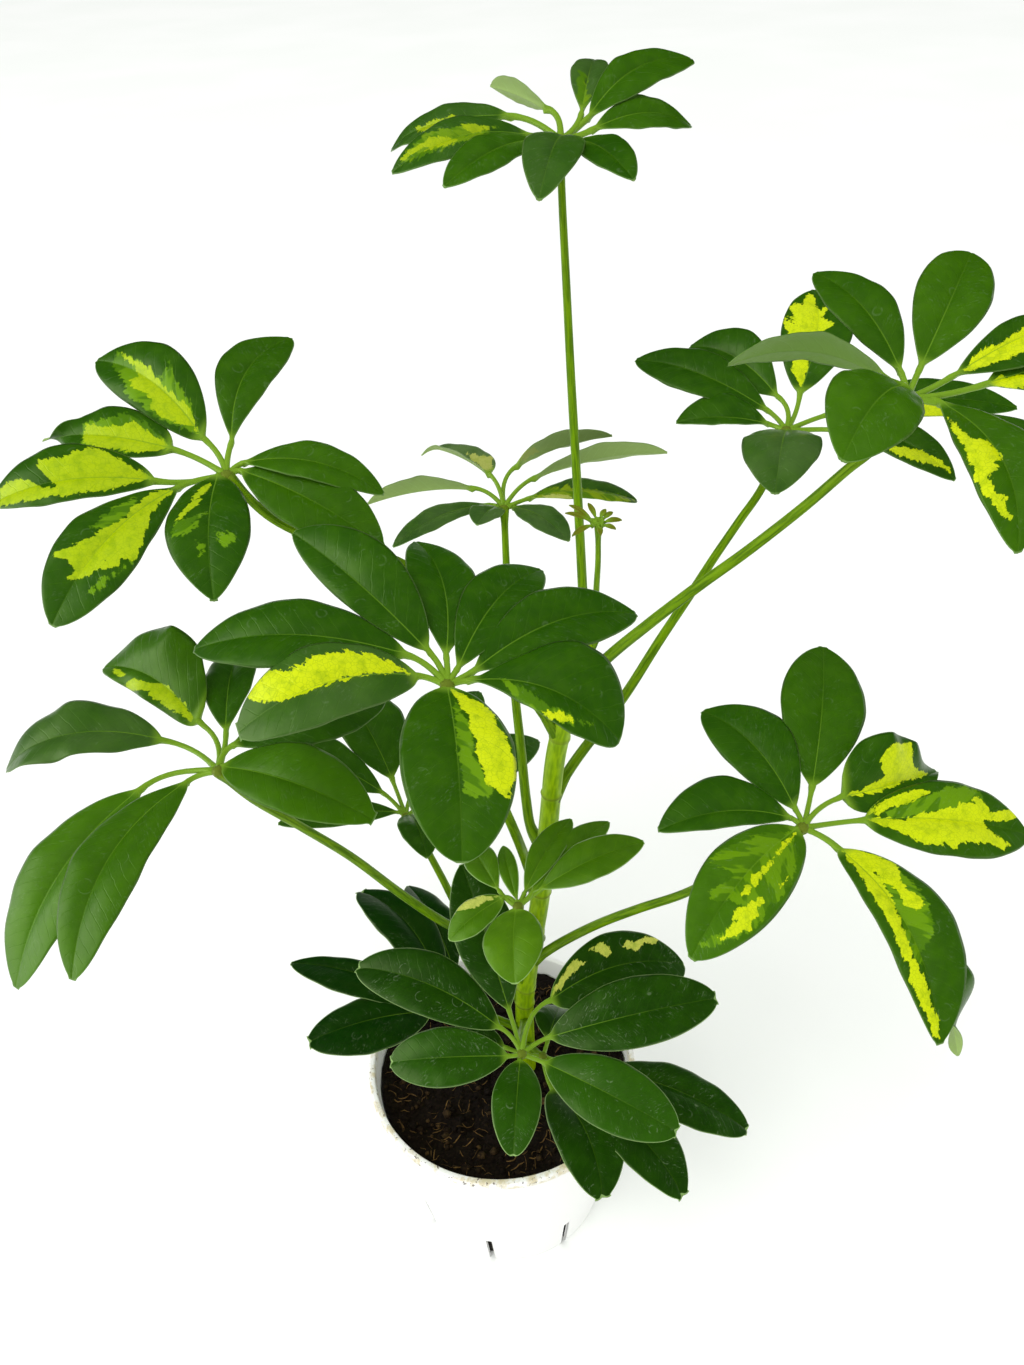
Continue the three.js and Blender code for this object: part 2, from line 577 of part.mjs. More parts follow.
const MATERIALS = {
  pot: { color: 0xf4f4f2, roughness: 0.45, metalness: 0 },
  soil: { color: 0x2b1a10, roughness: 0.95, metalness: 0 },
  stem: { color: 0x6f8f2a, roughness: 0.5, metalness: 0 },
  leaf: { color: 0x2f5f10, roughness: 0.4, metalness: 0 },
};

const plant = new THREE.Group();

function place(name, solid, look) {
  const mesh = new THREE.Mesh(geometryOf(solid), new THREE.MeshStandardMaterial(MATERIALS[look]));
  mesh.name = name;
  plant.add(mesh);
}

place('pot', makePot(), 'pot');
place('soil', makeSoil(), 'soil');
place('stem', makeStem(), 'stem');
const stemClear = makeStem(GAP);
for (const [name, leaf] of Object.entries(LEAVES)) {
  place(name, makeLeaf(leaf, stemClear), 'leaf');
}

export default plant;
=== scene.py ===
"""A potted dwarf umbrella plant: white nursery pot, peat soil, one stem, fourteen variegated compound leaves.

Lengths in the tables are millimetres. The part's frame has its origin at the centre of the pot's base, +Z
up, and -Y is the pot's front. Every piece is a grid of closed rings, worked out with numpy.
"""

import math

import bpy
import numpy as np
from mathutils import Matrix


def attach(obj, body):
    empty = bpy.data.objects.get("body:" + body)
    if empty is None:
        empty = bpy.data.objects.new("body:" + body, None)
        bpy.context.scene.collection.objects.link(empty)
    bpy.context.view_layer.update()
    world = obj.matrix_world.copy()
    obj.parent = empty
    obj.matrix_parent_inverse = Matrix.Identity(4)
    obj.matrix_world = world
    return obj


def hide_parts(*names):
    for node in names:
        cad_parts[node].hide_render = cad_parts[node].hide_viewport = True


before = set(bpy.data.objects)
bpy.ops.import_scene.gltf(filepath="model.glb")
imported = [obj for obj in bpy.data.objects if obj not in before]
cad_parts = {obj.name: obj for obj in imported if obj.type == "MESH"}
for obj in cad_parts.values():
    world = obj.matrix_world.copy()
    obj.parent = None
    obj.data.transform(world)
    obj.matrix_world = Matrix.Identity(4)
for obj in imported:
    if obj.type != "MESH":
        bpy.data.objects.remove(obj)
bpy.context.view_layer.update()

MM = 0.001
TINY = 1e-6
rng = np.random.default_rng(7)
scene = bpy.context.scene

# ------------------------------------------------------------------ driving dimensions

POT = dict(height=99, rim=60, base=44.7, wall=1.4, lip_width=1.2)
SLOT = dict(count=8, width=2.6, height=24, depth=5, first=-103, steps_between=26)
# the lip's section from its underside to its top: how far in from the rim, how far below the top
LIP = [(0.55, 4.6), (0.12, 4.25), (0, 3.8), (0, 2.4), (0.02, 1), (0.14, 0.4), (0.5, 0.06), (1, 0), (1.7, 0)]
FLOOR_RADII = [0.5, 14, 28, 37]
WALL_HEIGHTS = [2.5, 6, 10, 15, 20, SLOT["height"], 30, 38, 46, 54, 64, 74, 84, 90, 94.2]
SOIL = dict(top=89, mound=2, mound_radius=34, gap=0.3, sides=220, crumbs=750, fibres=360)
STEM = dict(
    foot=4.2, tip=3.4, buried=34, rows=260, sides=36, lobes=3, lobe=0.02, lobe_turn=5,
    scar=0.42, scar_reach=0.9, groove=0.16, groove_above=1.5, groove_reach=0.6, node_edge=0.4, head_off=40,
    path=[(526, 1046), (525, 1000), (530, 960), (540, 900), (548, 830), (555, 760), (560, 735), (580, 660),
          (585, 636)],
    nodes=[1000, 985, 950, 930, 890, 850, 793, 737, 697, 648], across=550,
)
STALK = dict(sheath=3.1, sheath_length=10, sheath_most=0.6, foot=2.0, head=1.3, swell=0.7, swell_reach=4.5,
             ribs=5, rib=0.035, step=2, least_rows=16, sides=20)
KNUCKLE = dict(radius=2.6, bead=0.75, reach=0.96, rows=13, sides=28, flat=0.8, lobes=8, lobe=0.08,
               lead=(0.3, 0.9, 0.2))
STALKLET = dict(root=0.9, end=0.8, bow=0.45, end_swell=0.35, end_reach=0.12, root_swell=0.3, root_reach=0.15,
                greens=(-0.5, 3.5))
# shares of the blade's length are from its foot
BLADE = dict(thickness=0.42, edge_power=6, curl_from=0.75, twist_from=0.72, round_until=0.06, bulge=0.12,
             crease=0.003, crease_level=0.055, waves=2.5, lag=1.2, ripples=5.5, ripple_lag=2, ripple=0.007,
             notch_width=0.9, notch_from=0.9)
MIDRIB = dict(radius=0.18, power=5, flare=0.1, groove=0.1, groove_width=0.35, groove_from=(0.05, 0.15))
GRID = dict(rows=60, columns=27, stalk_rows=9, to_midrib=0.75, power=1.7, to_margin=0.35, to_ends=0.25)
# how far from the margin a stalklet counts, and how the distance closes on the tip
MARGIN = dict(on_stalk=5.0, tip_share=0.8, least=0.05)
NO_MARK = -20.0
# a number of each leaflet's own, from 0 to 1, and how far apart such numbers put their patterns
LEAF_NUMBER, LEAFLET_NUMBER, PATTERN_STEP = 0.37, 0.618, 97.0

# A pair (across, down) is a point of the photograph, in pixels, on a line of sight from the eye.
SIGHT = dict(eye=(13.8, -301, 555), pitch=38.6, roll=-3.1, focal=1150, centre=(512, 682.5), height=1365)

# ------------------------------------------------------------------ the leaves

# roll and twist are degrees; the midrib's drop at the tip, its lift at the foot and the notch are mm. arch,
# curl and sweep are shares of the blade's length, wave, blunt and throat of its width, and fold is a slope.
# lean, peak, wedge and round shape the outline. gold and lime are closed outlines in pixels.
# tint above 0 makes a leaflet's green fresher, partly its own tone and partly painted sheen; below 0 it
# paints a grey sheen in patches.
SHAPE = dict(drop=4, lift=0, roll=0, arch=0.1, fold=0.08, curl=0, sweep=0, wave=0.018, blunt=0.1,
             throat=0.09, lean=0, peak=0.52, wedge=0.75, round=0.62, twist=0, notch=0, tint=0,
             gold=(), lime=())


def leaflet(foot, tip, width, **shape):
    """One leaflet: the two ends of its midrib, its width, how its blade bends and its marks' outlines."""
    return dict(SHAPE, foot=foot, tip=tip, width=width, **shape)


LEAVES = dict(
    leaf_top=dict(hub=(560, 141), behind=40, tilt=25, cant=0, slim=0.8,
        stalk=[(585, 640), (583, 600), (580, 540), (575, 450), (571, 380), (566, 280), (562, 200)],
        leaflets=[
        leaflet((509, 116), (389, 146), 14, drop=14, arch=0.08, curl=0.04, wedge=0.6, tint=-0.15,
            gold=[[(416, 128), (431, 121), (447, 116), (460, 117), (461, 120), (447, 124), (431, 130),
            (419, 132)]]),
        leaflet((530, 136), (392, 173), 15, drop=2, arch=0.14, wedge=0.6, tint=-0.1,
            gold=[[(416, 145), (429, 138), (458, 139), (451, 146), (437, 148), (421, 150), (400, 161),
            (407, 152)],
            [(461, 125), (494, 125), (490, 130), (468, 133)]],
            lime=[[(400, 163), (415, 140), (440, 130), (470, 124), (500, 126), (470, 140), (440, 150),
            (415, 158)]]),
        leaflet((536, 140), (444, 187), 14, drop=-4, tint=0.3),
        leaflet((548, 109), (491, 86), 10, drop=5, roll=75, arch=0.0, fold=0.2, sweep=-0.04, wave=0.01),
        leaflet((582, 111), (595, 60), 11, drop=8, tint=-0.35,
            lime=[[(579, 72), (585, 74), (588, 91), (588, 104), (582, 111), (577, 99), (577, 85)]]),
        leaflet((589, 117), (691, 59), 16, drop=2, sweep=-0.07, lean=0.15, round=0.5, tint=0.3),
        leaflet((594, 129), (691, 126), 15, drop=8, arch=0.14, tint=0.35),
        leaflet((573, 142), (634, 180), 13, drop=-10),
        leaflet((566, 139), (539, 200), 16, drop=-10, arch=0.16, tint=-0.25),
    ]),
    leaf_young=dict(hub=(598, 523), behind=-8, tilt=20, cant=0, knuckle=1.3, slim=0.6,
        stalk=[(584, 661), (598, 634), (596, 600), (598, 560)], leaflets=[
        leaflet((592, 520), (569, 505), 1.8, drop=0),
        leaflet((591, 521), (565, 513), 1.8, drop=0),
        leaflet((592, 525), (572, 536), 2, drop=0),
        leaflet((596, 518), (588, 503), 1.8, drop=-1),
        leaflet((600, 518), (606, 509), 1.8, drop=-1),
        leaflet((603, 519), (613, 512), 1.8, drop=0),
        leaflet((604, 522), (622, 520), 2, drop=0),
        leaflet((603, 525), (616, 529), 1.8, drop=0),
        leaflet((599, 527), (601, 535), 1.8, drop=-1),
    ]),
    leaf_upper_left=dict(hub=(227, 476), behind=-5, tilt=28, cant=5,
        stalk=[(558, 734), (520, 682), (480, 636), (440, 598), (400, 563), (335, 546), (272, 518)],
        leaflets=[
        leaflet((203, 438), (97, 361), 21, drop=2, roll=-15, sweep=0.09, lean=0.1, wedge=0.5,
            gold=[[(199, 435), (192, 412), (184, 402), (174, 395), (164, 386), (154, 377), (149, 367),
            (139, 362), (122, 353), (124, 359), (136, 367), (138, 377), (127, 381), (132, 386), (146, 393),
            (152, 400), (150, 407), (159, 416), (174, 423), (192, 426)]],
            lime=[[(199, 435), (192, 408), (184, 392), (176, 378), (168, 362), (163, 370), (160, 382),
            (140, 360), (118, 352), (112, 362), (122, 378), (128, 396), (146, 408), (160, 420),
            (180, 428)]]),
        leaflet((232, 441), (290, 338), 18, drop=2, sweep=-0.11, peak=0.58, wedge=0.7, tint=0.2),
        leaflet((172, 449), (44, 440), 17, drop=8, lean=0.2, peak=0.42, wedge=0.55, round=1.2, twist=150,
            gold=[[(173, 449), (159, 437), (147, 430), (134, 422), (119, 426), (100, 426), (87, 424),
            (84, 433), (82, 442), (100, 448), (137, 451), (159, 451)]],
            lime=[[(173, 449), (150, 424), (124, 413), (100, 420), (84, 424), (80, 444), (120, 451)]]),
        leaflet((155, 481), (-10, 505), 19, arch=0.14, lean=0.2, wedge=0.5,
            gold=[[(152, 478), (124, 462), (107, 452), (87, 448), (75, 452), (60, 457), (37, 459),
            (37, 469), (50, 479), (57, 487), (42, 488), (30, 479), (15, 479), (5, 484), (0, 489), (0, 507),
            (15, 504), (45, 497), (82, 493), (112, 489), (147, 480)]]),
        leaflet((178, 488), (52, 626), 23, drop=-4, sweep=0.04, lean=-0.05, peak=0.6, wedge=0.6,
            gold=[[(172, 489), (154, 492), (134, 504), (124, 519), (112, 525), (75, 543), (52, 554),
            (67, 561), (75, 569), (66, 579), (82, 579), (100, 568), (107, 556), (102, 569), (119, 569),
            (122, 560), (137, 558), (144, 541), (149, 519), (159, 504), (174, 492)]],
            lime=[[(90, 526), (115, 507), (135, 497), (140, 505), (112, 530)],
            [(85, 594), (104, 576), (130, 561), (120, 575), (95, 592)]]),
        leaflet((218, 476), (214, 601), 23, drop=-4, sweep=0.03, wedge=0.6, round=0.75,
            gold=[[(209, 482), (196, 492), (184, 509), (175, 521), (182, 519), (199, 502), (211, 484)]],
            lime=[[(174, 521), (172, 536), (182, 535), (207, 514)],
            [(211, 529), (234, 534), (236, 541), (224, 548)],
            [(195, 541), (207, 545), (200, 556)]]),
        leaflet((244, 463), (384, 494), 15.5, roll=-12, arch=0.16, tint=0.4),
        leaflet((241, 471), (383, 547), 21, drop=3, tint=0.35),
    ]),
    leaf_centre=dict(hub=(447, 686), behind=-65, tilt=20, cant=12,
        stalk=[(535, 888), (522, 850), (505, 810), (480, 760), (455, 712)], leaflets=[
        leaflet((427, 650), (293, 533), 19, drop=-4, roll=-25, sweep=0.02, lean=0.3, wedge=0.6),
        leaflet((446, 655), (416, 542), 19, drop=8, sweep=0.07),
        leaflet((458, 668), (541, 570), 18.5, drop=6, sweep=-0.06),
        leaflet((474, 671), (636, 614), 21, drop=2, sweep=-0.06),
        leaflet((469, 681), (620, 741), 27, drop=-2, arch=0.14, sweep=-0.07, lean=-0.3, peak=0.62,
            round=0.45,
            gold=[[(540, 711), (552, 709), (566, 715), (575, 722), (549, 720)]],
            lime=[[(500, 679), (523, 685), (543, 699), (566, 714), (592, 724), (572, 724), (546, 717),
            (526, 708), (514, 694)]]),
        leaflet((447, 688), (462, 863), 29, drop=-4, arch=0.12, wedge=0.5, round=0.5, tint=0.15,
            gold=[[(450, 688), (465, 694), (477, 701), (488, 709), (494, 717), (499, 728), (509, 740),
            (511, 751), (519, 768), (514, 783), (509, 791), (513, 803), (503, 797), (497, 788), (486, 785),
            (483, 768), (474, 754), (478, 740), (471, 728), (470, 717), (460, 705)]],
            lime=[[(455, 700), (470, 728), (476, 754), (484, 774), (497, 794), (477, 797), (465, 791),
            (460, 763), (456, 734)]]),
        leaflet((417, 676), (238, 733), 23, drop=8, arch=0.16, sweep=0.04, blunt=0.25, wedge=0.5, round=0.5,
            tint=-0.3,
            gold=[[(411, 675), (391, 662), (368, 653), (345, 651), (328, 653), (308, 659), (306, 666),
            (290, 669), (260, 671), (262, 679), (242, 688), (240, 697), (256, 701), (282, 701), (305, 692),
            (333, 682), (368, 674), (402, 672)]]),
        leaflet((407, 655), (194, 650), 22, drop=14, arch=0.14, wedge=0.6),
    ]),
    leaf_back=dict(hub=(504, 508), behind=95, tilt=0, cant=0,
        stalk=[(543, 848), (531, 828), (526, 800), (521, 750), (516, 705), (510, 640), (506, 560)],
        leaflets=[
        leaflet((489, 474), (424, 446), 13.5, drop=-8, lift=9, roll=25, arch=0.05, fold=0.5, curl=0.1,
            lean=0.35, peak=0.35, tint=-0.9,
            gold=[[(494, 474), (491, 460), (497, 455), (482, 456), (466, 453), (474, 462), (484, 470)]]),
        leaflet((472, 488), (368, 504), 17, drop=0, lift=5, roll=46, arch=0.05, fold=0.4, wave=0.02),
        leaflet((488, 505), (393, 547), 15, drop=6, tint=-0.3),
        leaflet((498, 507), (477, 525), 14, drop=-2, tint=-0.45),
        leaflet((513, 507), (569, 541), 15, drop=2, tint=-0.4),
        leaflet((530, 498), (637, 501), 17, drop=2, lift=3, round=0.45, tint=-0.1,
            gold=[[(540, 497), (552, 494), (566, 495), (572, 498), (560, 500), (550, 499)]],
            lime=[[(532, 498), (545, 488), (566, 486), (595, 490), (620, 495), (634, 500), (612, 510),
            (585, 511), (555, 505)]]),
        leaflet((534, 478), (667, 453), 16, drop=-10, lift=8, roll=-54, arch=0.06, fold=0.3, wave=0.02),
        leaflet((517, 466), (612, 436), 16, drop=-16, lift=10, roll=-54, arch=0.06, fold=0.35, wave=0.02,
            peak=0.4,
            gold=[[(517, 463), (518, 455), (524, 450), (535, 447), (540, 452), (530, 456), (523, 461)]]),
    ]),
    leaf_behind_left=dict(hub=(406, 817), behind=30, tilt=20, cant=15,
        stalk=[(524, 1004), (490, 950), (458, 908), (441, 876), (424, 845)], leaflets=[
        leaflet((392, 779), (342, 690), 28, drop=-4, lean=0.15),
        leaflet((383, 793), (262, 738), 20, drop=-4),
        leaflet((398, 812), (278, 824), 12),
        leaflet((408, 815), (427, 858), 16, drop=-16, arch=0.14),
        leaflet((428, 800), (539, 741), 20, drop=6),
        leaflet((414, 790), (480, 692), 20, drop=6),
    ]),
    leaf_left=dict(hub=(218, 771), behind=-40, tilt=12, cant=-8,
        stalk=[(530, 984), (485, 945), (437, 918), (400, 893), (350, 856), (300, 826), (250, 797)],
        leaflets=[
        leaflet((198, 722), (104, 668), 25, drop=-4, roll=-20, sweep=0.12, wave=0.07, lean=0.42, peak=0.45,
            wedge=0.45, round=0.5, twist=-15, tint=0.4,
            gold=[[(187, 706), (178, 697), (172, 690), (165, 685), (150, 683), (140, 681), (133, 678),
            (128, 682), (123, 686), (130, 690), (150, 690), (148, 694), (158, 701), (165, 706), (175, 712),
            (183, 713), (190, 722), (194, 722), (190, 712)],
            [(114, 669), (119, 669), (126, 675), (121, 677), (114, 673)]]),
        leaflet((162, 740), (3, 766), 22, drop=-4, arch=0.16, curl=0.05, sweep=0.03, wave=0.05, lean=0.1,
            wedge=0.5, tint=-0.35),
        leaflet((140, 790), (16, 988), 26, drop=18, arch=0.12, sweep=0.03, wedge=0.6, tint=0.8),
        leaflet((186, 783), (72, 980), 24, drop=2, sweep=0.08, lean=-0.1, wedge=0.6, tint=0.5),
        leaflet((226, 731), (243, 647), 18, drop=8),
        leaflet((233, 745), (385, 699), 24, drop=10, lean=0.3),
        leaflet((222, 767), (374, 820), 24, drop=8, arch=0.12, blunt=0.2, lean=-0.1, wedge=0.6, tint=0.6),
    ]),
    leaf_right_back=dict(hub=(786, 431), behind=60, tilt=22, cant=-10,
        stalk=[(553, 798), (563, 780), (576, 760), (597, 732), (625, 695), (660, 640), (690, 595),
        (716, 555), (740, 520), (762, 488)], leaflets=[
        leaflet((767, 410), (636, 360), 20, drop=0),
        leaflet((777, 396), (690, 347), 21, roll=-20, sweep=0.08),
        leaflet((768, 424), (676, 423), 14, drop=-2, lean=0.5),
        leaflet((787, 431), (775, 494), 26, drop=-12, arch=0.16, tint=-0.45),
        leaflet((800, 393), (815, 290), 25, drop=-4, sweep=0.07, wedge=0.6,
            gold=[[(797, 393), (799, 388), (793, 370), (793, 345), (789, 335), (783, 322), (786, 318),
            (793, 322), (797, 326), (792, 312), (789, 306), (795, 303), (803, 306), (805, 297), (810, 293),
            (814, 295), (816, 306), (820, 310), (828, 303), (830, 306), (822, 318), (833, 322), (834, 325),
            (822, 331), (823, 338), (815, 345), (807, 365), (803, 385)]]),
        leaflet((830, 414), (1017, 408), 17, drop=2,
            gold=[[(905, 402), (935, 402), (945, 408), (947, 419), (905, 420)]]),
        leaflet((835, 430), (955, 480), 15, drop=-4, sweep=-0.06,
            gold=[[(873, 440), (890, 443), (900, 448), (905, 446), (920, 450), (930, 455), (940, 460),
            (951, 468), (950, 472), (930, 463), (915, 460), (900, 456), (893, 451), (880, 447)]]),
    ]),
    leaf_right_front=dict(hub=(907, 399), behind=-25, tilt=30, cant=0,
        stalk=[(574, 697), (602, 663), (650, 623), (700, 585), (746, 552), (805, 506), (848, 469),
        (874, 448)], leaflets=[
        leaflet((921, 366), (971, 253), 20, drop=2, round=0.5, tint=0.5),
        leaflet((900, 371), (815, 273), 17, sweep=0.03, tint=0.2),
        leaflet((885, 378), (728, 365), 22, drop=2, roll=72, arch=0.14, wedge=0.6, tint=0.6),
        leaflet((904, 386), (842, 461), 24, drop=-10, lift=4, arch=0.16, sweep=0.06, wedge=0.5, tint=0.5),
        leaflet((956, 374), (1075, 320), 15, drop=2, lean=0.2,
            gold=[[(957, 374), (965, 368), (975, 355), (985, 347), (995, 345), (1005, 340), (1015, 335),
            (1024, 328), (1050, 322), (1060, 330), (1024, 352), (1000, 360), (980, 367)]]),
        leaflet((986, 384), (1110, 368), 18, drop=8,
            gold=[[(985, 384), (1000, 378), (1024, 374), (1080, 370), (1080, 380), (1024, 388),
            (1000, 387)]]),
        leaflet((940, 403), (1018, 553), 20, drop=-4, sweep=-0.1, tint=0.4,
            gold=[[(947, 417), (952, 420), (958, 427), (970, 437), (985, 440), (1000, 453), (1003, 460),
            (996, 462), (1000, 468), (990, 475), (988, 480), (995, 490), (1008, 497), (1002, 500),
            (1005, 510), (1015, 518), (1012, 522), (1000, 512), (988, 498), (978, 485), (972, 465),
            (963, 445), (953, 430)]]),
        leaflet((970, 415), (1075, 520), 20, drop=6,
            gold=[[(975, 415), (990, 422), (1000, 433), (1015, 442), (1024, 450), (1040, 465), (1050, 480),
            (1045, 485), (1030, 470), (1012, 452), (1000, 440), (985, 428)]]),
    ]),
    leaf_right_low=dict(hub=(803, 828), behind=-50, tilt=18, cant=5,
        stalk=[(531, 962), (560, 943), (600, 923), (640, 908), (685, 893), (745, 862)], leaflets=[
        leaflet((812, 787), (823, 647), 28, drop=-6, wedge=0.7, tint=0.3),
        leaflet((795, 809), (703, 711), 23, roll=-15, sweep=0.07, lean=0.1, wedge=0.7),
        leaflet((790, 818), (658, 831), 18, arch=0.14, sweep=0.04, lean=0.35, wedge=0.6),
        leaflet((797, 829), (691, 959), 26, drop=2, sweep=0.05, lean=-0.1, wedge=0.5, tint=0.7,
            gold=[[(795, 832), (785, 840), (775, 855), (760, 870), (752, 875), (748, 885), (740, 893),
            (742, 897), (750, 892), (762, 878), (770, 868), (778, 856), (788, 845), (797, 833)],
            [(763, 897), (755, 900), (745, 907), (735, 910), (733, 918), (738, 920), (728, 930), (720, 938),
            (722, 941), (735, 935), (745, 930), (752, 930), (750, 922), (760, 915), (758, 905), (765, 902)],
            [(787, 877), (781, 880), (779, 888), (786, 885)]],
            lime=[[(795, 830), (760, 835), (730, 845), (708, 860), (725, 868), (735, 875), (720, 885),
            (708, 893), (712, 900), (735, 900), (745, 907), (728, 930), (700, 943), (705, 950), (730, 940),
            (755, 930), (770, 905), (785, 895), (793, 880), (796, 860)]]),
        leaflet((840, 850), (939, 1045), 23, drop=0, sweep=-0.08, lean=-0.25, wedge=0.45, tint=0.2,
            gold=[[(841, 848), (845, 845), (855, 846), (862, 852), (870, 862), (880, 877), (888, 893),
            (895, 905), (900, 920), (907, 940), (913, 955), (920, 970), (927, 985), (932, 1005),
            (937, 1015), (940, 1037), (935, 1038), (930, 1025), (920, 1003), (912, 985), (908, 965),
            (898, 945), (890, 925), (878, 905), (866, 885), (855, 868), (846, 856)],
            [(862, 850), (875, 855), (890, 860), (900, 870), (903, 885), (915, 893), (925, 905), (917, 910),
            (905, 905), (903, 895), (893, 888), (880, 880), (872, 870), (858, 860)]],
            lime=[[(862, 850), (890, 858), (910, 880), (928, 905), (935, 925), (930, 940), (920, 955),
            (925, 965), (915, 960), (908, 945), (900, 920), (890, 895), (870, 862)]]),
        leaflet((865, 820), (1028, 835), 27, drop=0, wedge=0.5, tint=0.2,
            gold=[[(866, 818), (880, 818), (905, 819), (925, 812), (940, 810), (957, 808), (960, 803),
            (975, 803), (970, 797), (980, 797), (985, 805), (993, 812), (1005, 810), (1015, 808),
            (1018, 818), (1005, 822), (985, 820), (985, 828), (995, 835), (1005, 842), (1010, 845),
            (1003, 849), (990, 843), (975, 842), (960, 843), (953, 852), (945, 843), (930, 846), (920, 842),
            (905, 835), (890, 828), (870, 822)],
            [(866, 815), (880, 800), (895, 797), (910, 790), (925, 789), (933, 793), (920, 797), (905, 803),
            (890, 808), (875, 815)]],
            lime=[[(885, 812), (905, 804), (930, 795), (945, 788), (965, 785), (980, 792), (985, 803),
            (960, 808), (940, 812), (915, 817), (890, 819)]]),
        leaflet((843, 797), (937, 772), 25, drop=6, roll=25, fold=0.3, wave=0.06, lean=-0.35, peak=0.35,
            wedge=0.5, twist=60,
            gold=[[(843, 797), (870, 795), (890, 788), (905, 780), (920, 778), (928, 774), (918, 770),
            (913, 765), (913, 755), (912, 742), (905, 742), (893, 745), (888, 750), (882, 757), (880, 768),
            (885, 775), (875, 782), (860, 790)]]),
        leaflet((838, 850), (962, 1055), 17, drop=14, curl=0.03, sweep=-0.05, blunt=0.08, lean=-0.35,
            peak=0.78, twist=95),
    ]),
    leaf_small=dict(hub=(518, 907), behind=-37, tilt=15, cant=-10,
        stalk=[(538, 938), (527, 924)], leaflets=[
        leaflet((498, 889), (470, 845), 12, drop=6),
        leaflet((517, 900), (503, 846), 7),
        leaflet((525, 892), (571, 819), 12),
        leaflet((532, 893), (609, 822), 13, drop=8),
        leaflet((541, 889), (644, 842), 16, drop=-2),
        leaflet((516, 909), (515, 984), 21, drop=-2, arch=0.12, wedge=0.5, tint=0.3),
        leaflet((503, 898), (449, 940), 13, drop=2, wedge=0.5,
            gold=[[(500, 896), (480, 896), (465, 900), (455, 907), (448, 913), (455, 913), (468, 908),
            (480, 905), (490, 900)]]),
    ]),
    leaf_low_front=dict(hub=(522, 1054), behind=-50, tilt=25, cant=0,
        stalk=[(526, 1020), (520, 1042)], leaflets=[
        leaflet((499, 1027), (357, 967), 24, drop=0, sweep=0.06, blunt=0.2, wedge=0.6, round=0.5,
            notch=1.2),
        leaflet((508, 1056), (390, 1062), 22, blunt=0.2, wedge=0.6, round=0.5, notch=1, tint=0.4),
        leaflet((520, 1060), (513, 1157), 18, drop=-16, arch=0.12, wedge=0.6, round=0.5, notch=0.7,
            tint=0.5),
        leaflet((545, 1063), (678, 1132), 25, drop=-4, blunt=0.2, wedge=0.6, round=0.5, notch=1.2,
            tint=0.7),
        leaflet((550, 1037), (717, 998), 26, drop=-6, blunt=0.2, lean=-0.05, wedge=0.6, round=0.5, notch=1,
            tint=0.1),
        leaflet((551, 1000), (684, 965), 28, drop=12, sweep=-0.09, lean=0.05, wedge=0.5, round=0.5,
            gold=[[(549, 1000), (555, 985), (565, 972), (572, 960), (576, 958), (578, 962), (588, 962),
            (580, 966), (572, 974), (563, 985), (556, 993)],
            [(588, 950), (597, 945), (603, 943), (610, 949), (611, 953), (608, 957), (603, 956),
            (598, 951)],
            [(622, 949), (627, 941), (635, 943), (640, 940), (645, 935), (650, 937), (656, 938), (662, 936),
            (655, 943), (645, 944), (637, 950), (628, 948)]]),
        leaflet((509, 1010), (462, 864), 24, drop=-15),
    ]),
    leaf_low_right=dict(hub=(543, 1057), behind=-25, tilt=-5, cant=5,
        stalk=[(526, 1044)], leaflets=[
        leaflet((600, 1070), (748, 1130), 26, blunt=0.2, lean=0.15, wedge=0.6, round=0.45, notch=1),
        leaflet((575, 1095), (684, 1197), 26, drop=6, sweep=-0.05, blunt=0.25, wedge=0.6, round=0.5,
            notch=1.5),
        leaflet((553, 1090), (603, 1199), 27, drop=2, sweep=-0.07, blunt=0.25, wedge=0.5, round=0.5,
            notch=1.5),
        leaflet((505, 1047), (446, 1035), 16),
        leaflet((548, 1040), (560, 1006), 18),
    ]),
    leaf_low_left=dict(hub=(465, 1008), behind=-10, tilt=0, cant=20,
        stalk=[(526, 1031), (495, 1018)], leaflets=[
        leaflet((430, 1012), (308, 1042), 25, drop=8, blunt=0.25, lean=-0.2, wedge=0.6, round=0.5,
            notch=1.2),
        leaflet((430, 1006), (291, 963), 19, drop=8, lean=-0.3),
        leaflet((440, 985), (361, 891), 26, drop=2, sweep=0.06, blunt=0.25, lean=-0.12, wedge=0.5,
            round=0.5, notch=1.2),
        leaflet((455, 975), (408, 886), 20),
    ]),
)

# ------------------------------------------------------------------ lines of sight


def unit(v):
    """v divided by its own length, along the last axis."""
    v = np.asarray(v, float)
    return v / np.linalg.norm(v, axis=-1, keepdims=True)


EYE = np.array(SIGHT["eye"], float)
PITCH, ROLL = math.radians(SIGHT["pitch"]), math.radians(SIGHT["roll"])
AHEAD = np.array([0, math.cos(PITCH), -math.sin(PITCH)])
BELOW = np.array([0, -math.sin(PITCH), -math.cos(PITCH)])
ACROSS_AXIS = math.cos(ROLL) * np.array([1, 0, 0]) - math.sin(ROLL) * BELOW
DOWN_AXIS = math.sin(ROLL) * np.array([1, 0, 0]) + math.cos(ROLL) * BELOW


def sight(point, on, normal):
    """Where the line of sight through a point meets the plane through `on`, square to `normal`."""
    u, v = (np.array(point, float) - SIGHT["centre"]) / SIGHT["focal"]
    line = AHEAD + u * ACROSS_AXIS + v * DOWN_AXIS
    return EYE + line * (np.dot(on - EYE, normal) / np.dot(line, normal))


def sight_upright(point, behind):
    """Where the line of sight through a point meets the upright plane y = behind."""
    return sight(point, np.array([0, behind, 0.0]), np.array([0, 1.0, 0]))


def seen_at(points):
    """The pixel at which each point of space is seen, and the millimetres that one pixel covers there."""
    off = points - EYE
    depth = off @ AHEAD
    plane = np.stack([off @ ACROSS_AXIS, off @ DOWN_AXIS], -1) / depth[..., None]
    return plane * SIGHT["focal"] + SIGHT["centre"], depth / SIGHT["focal"]


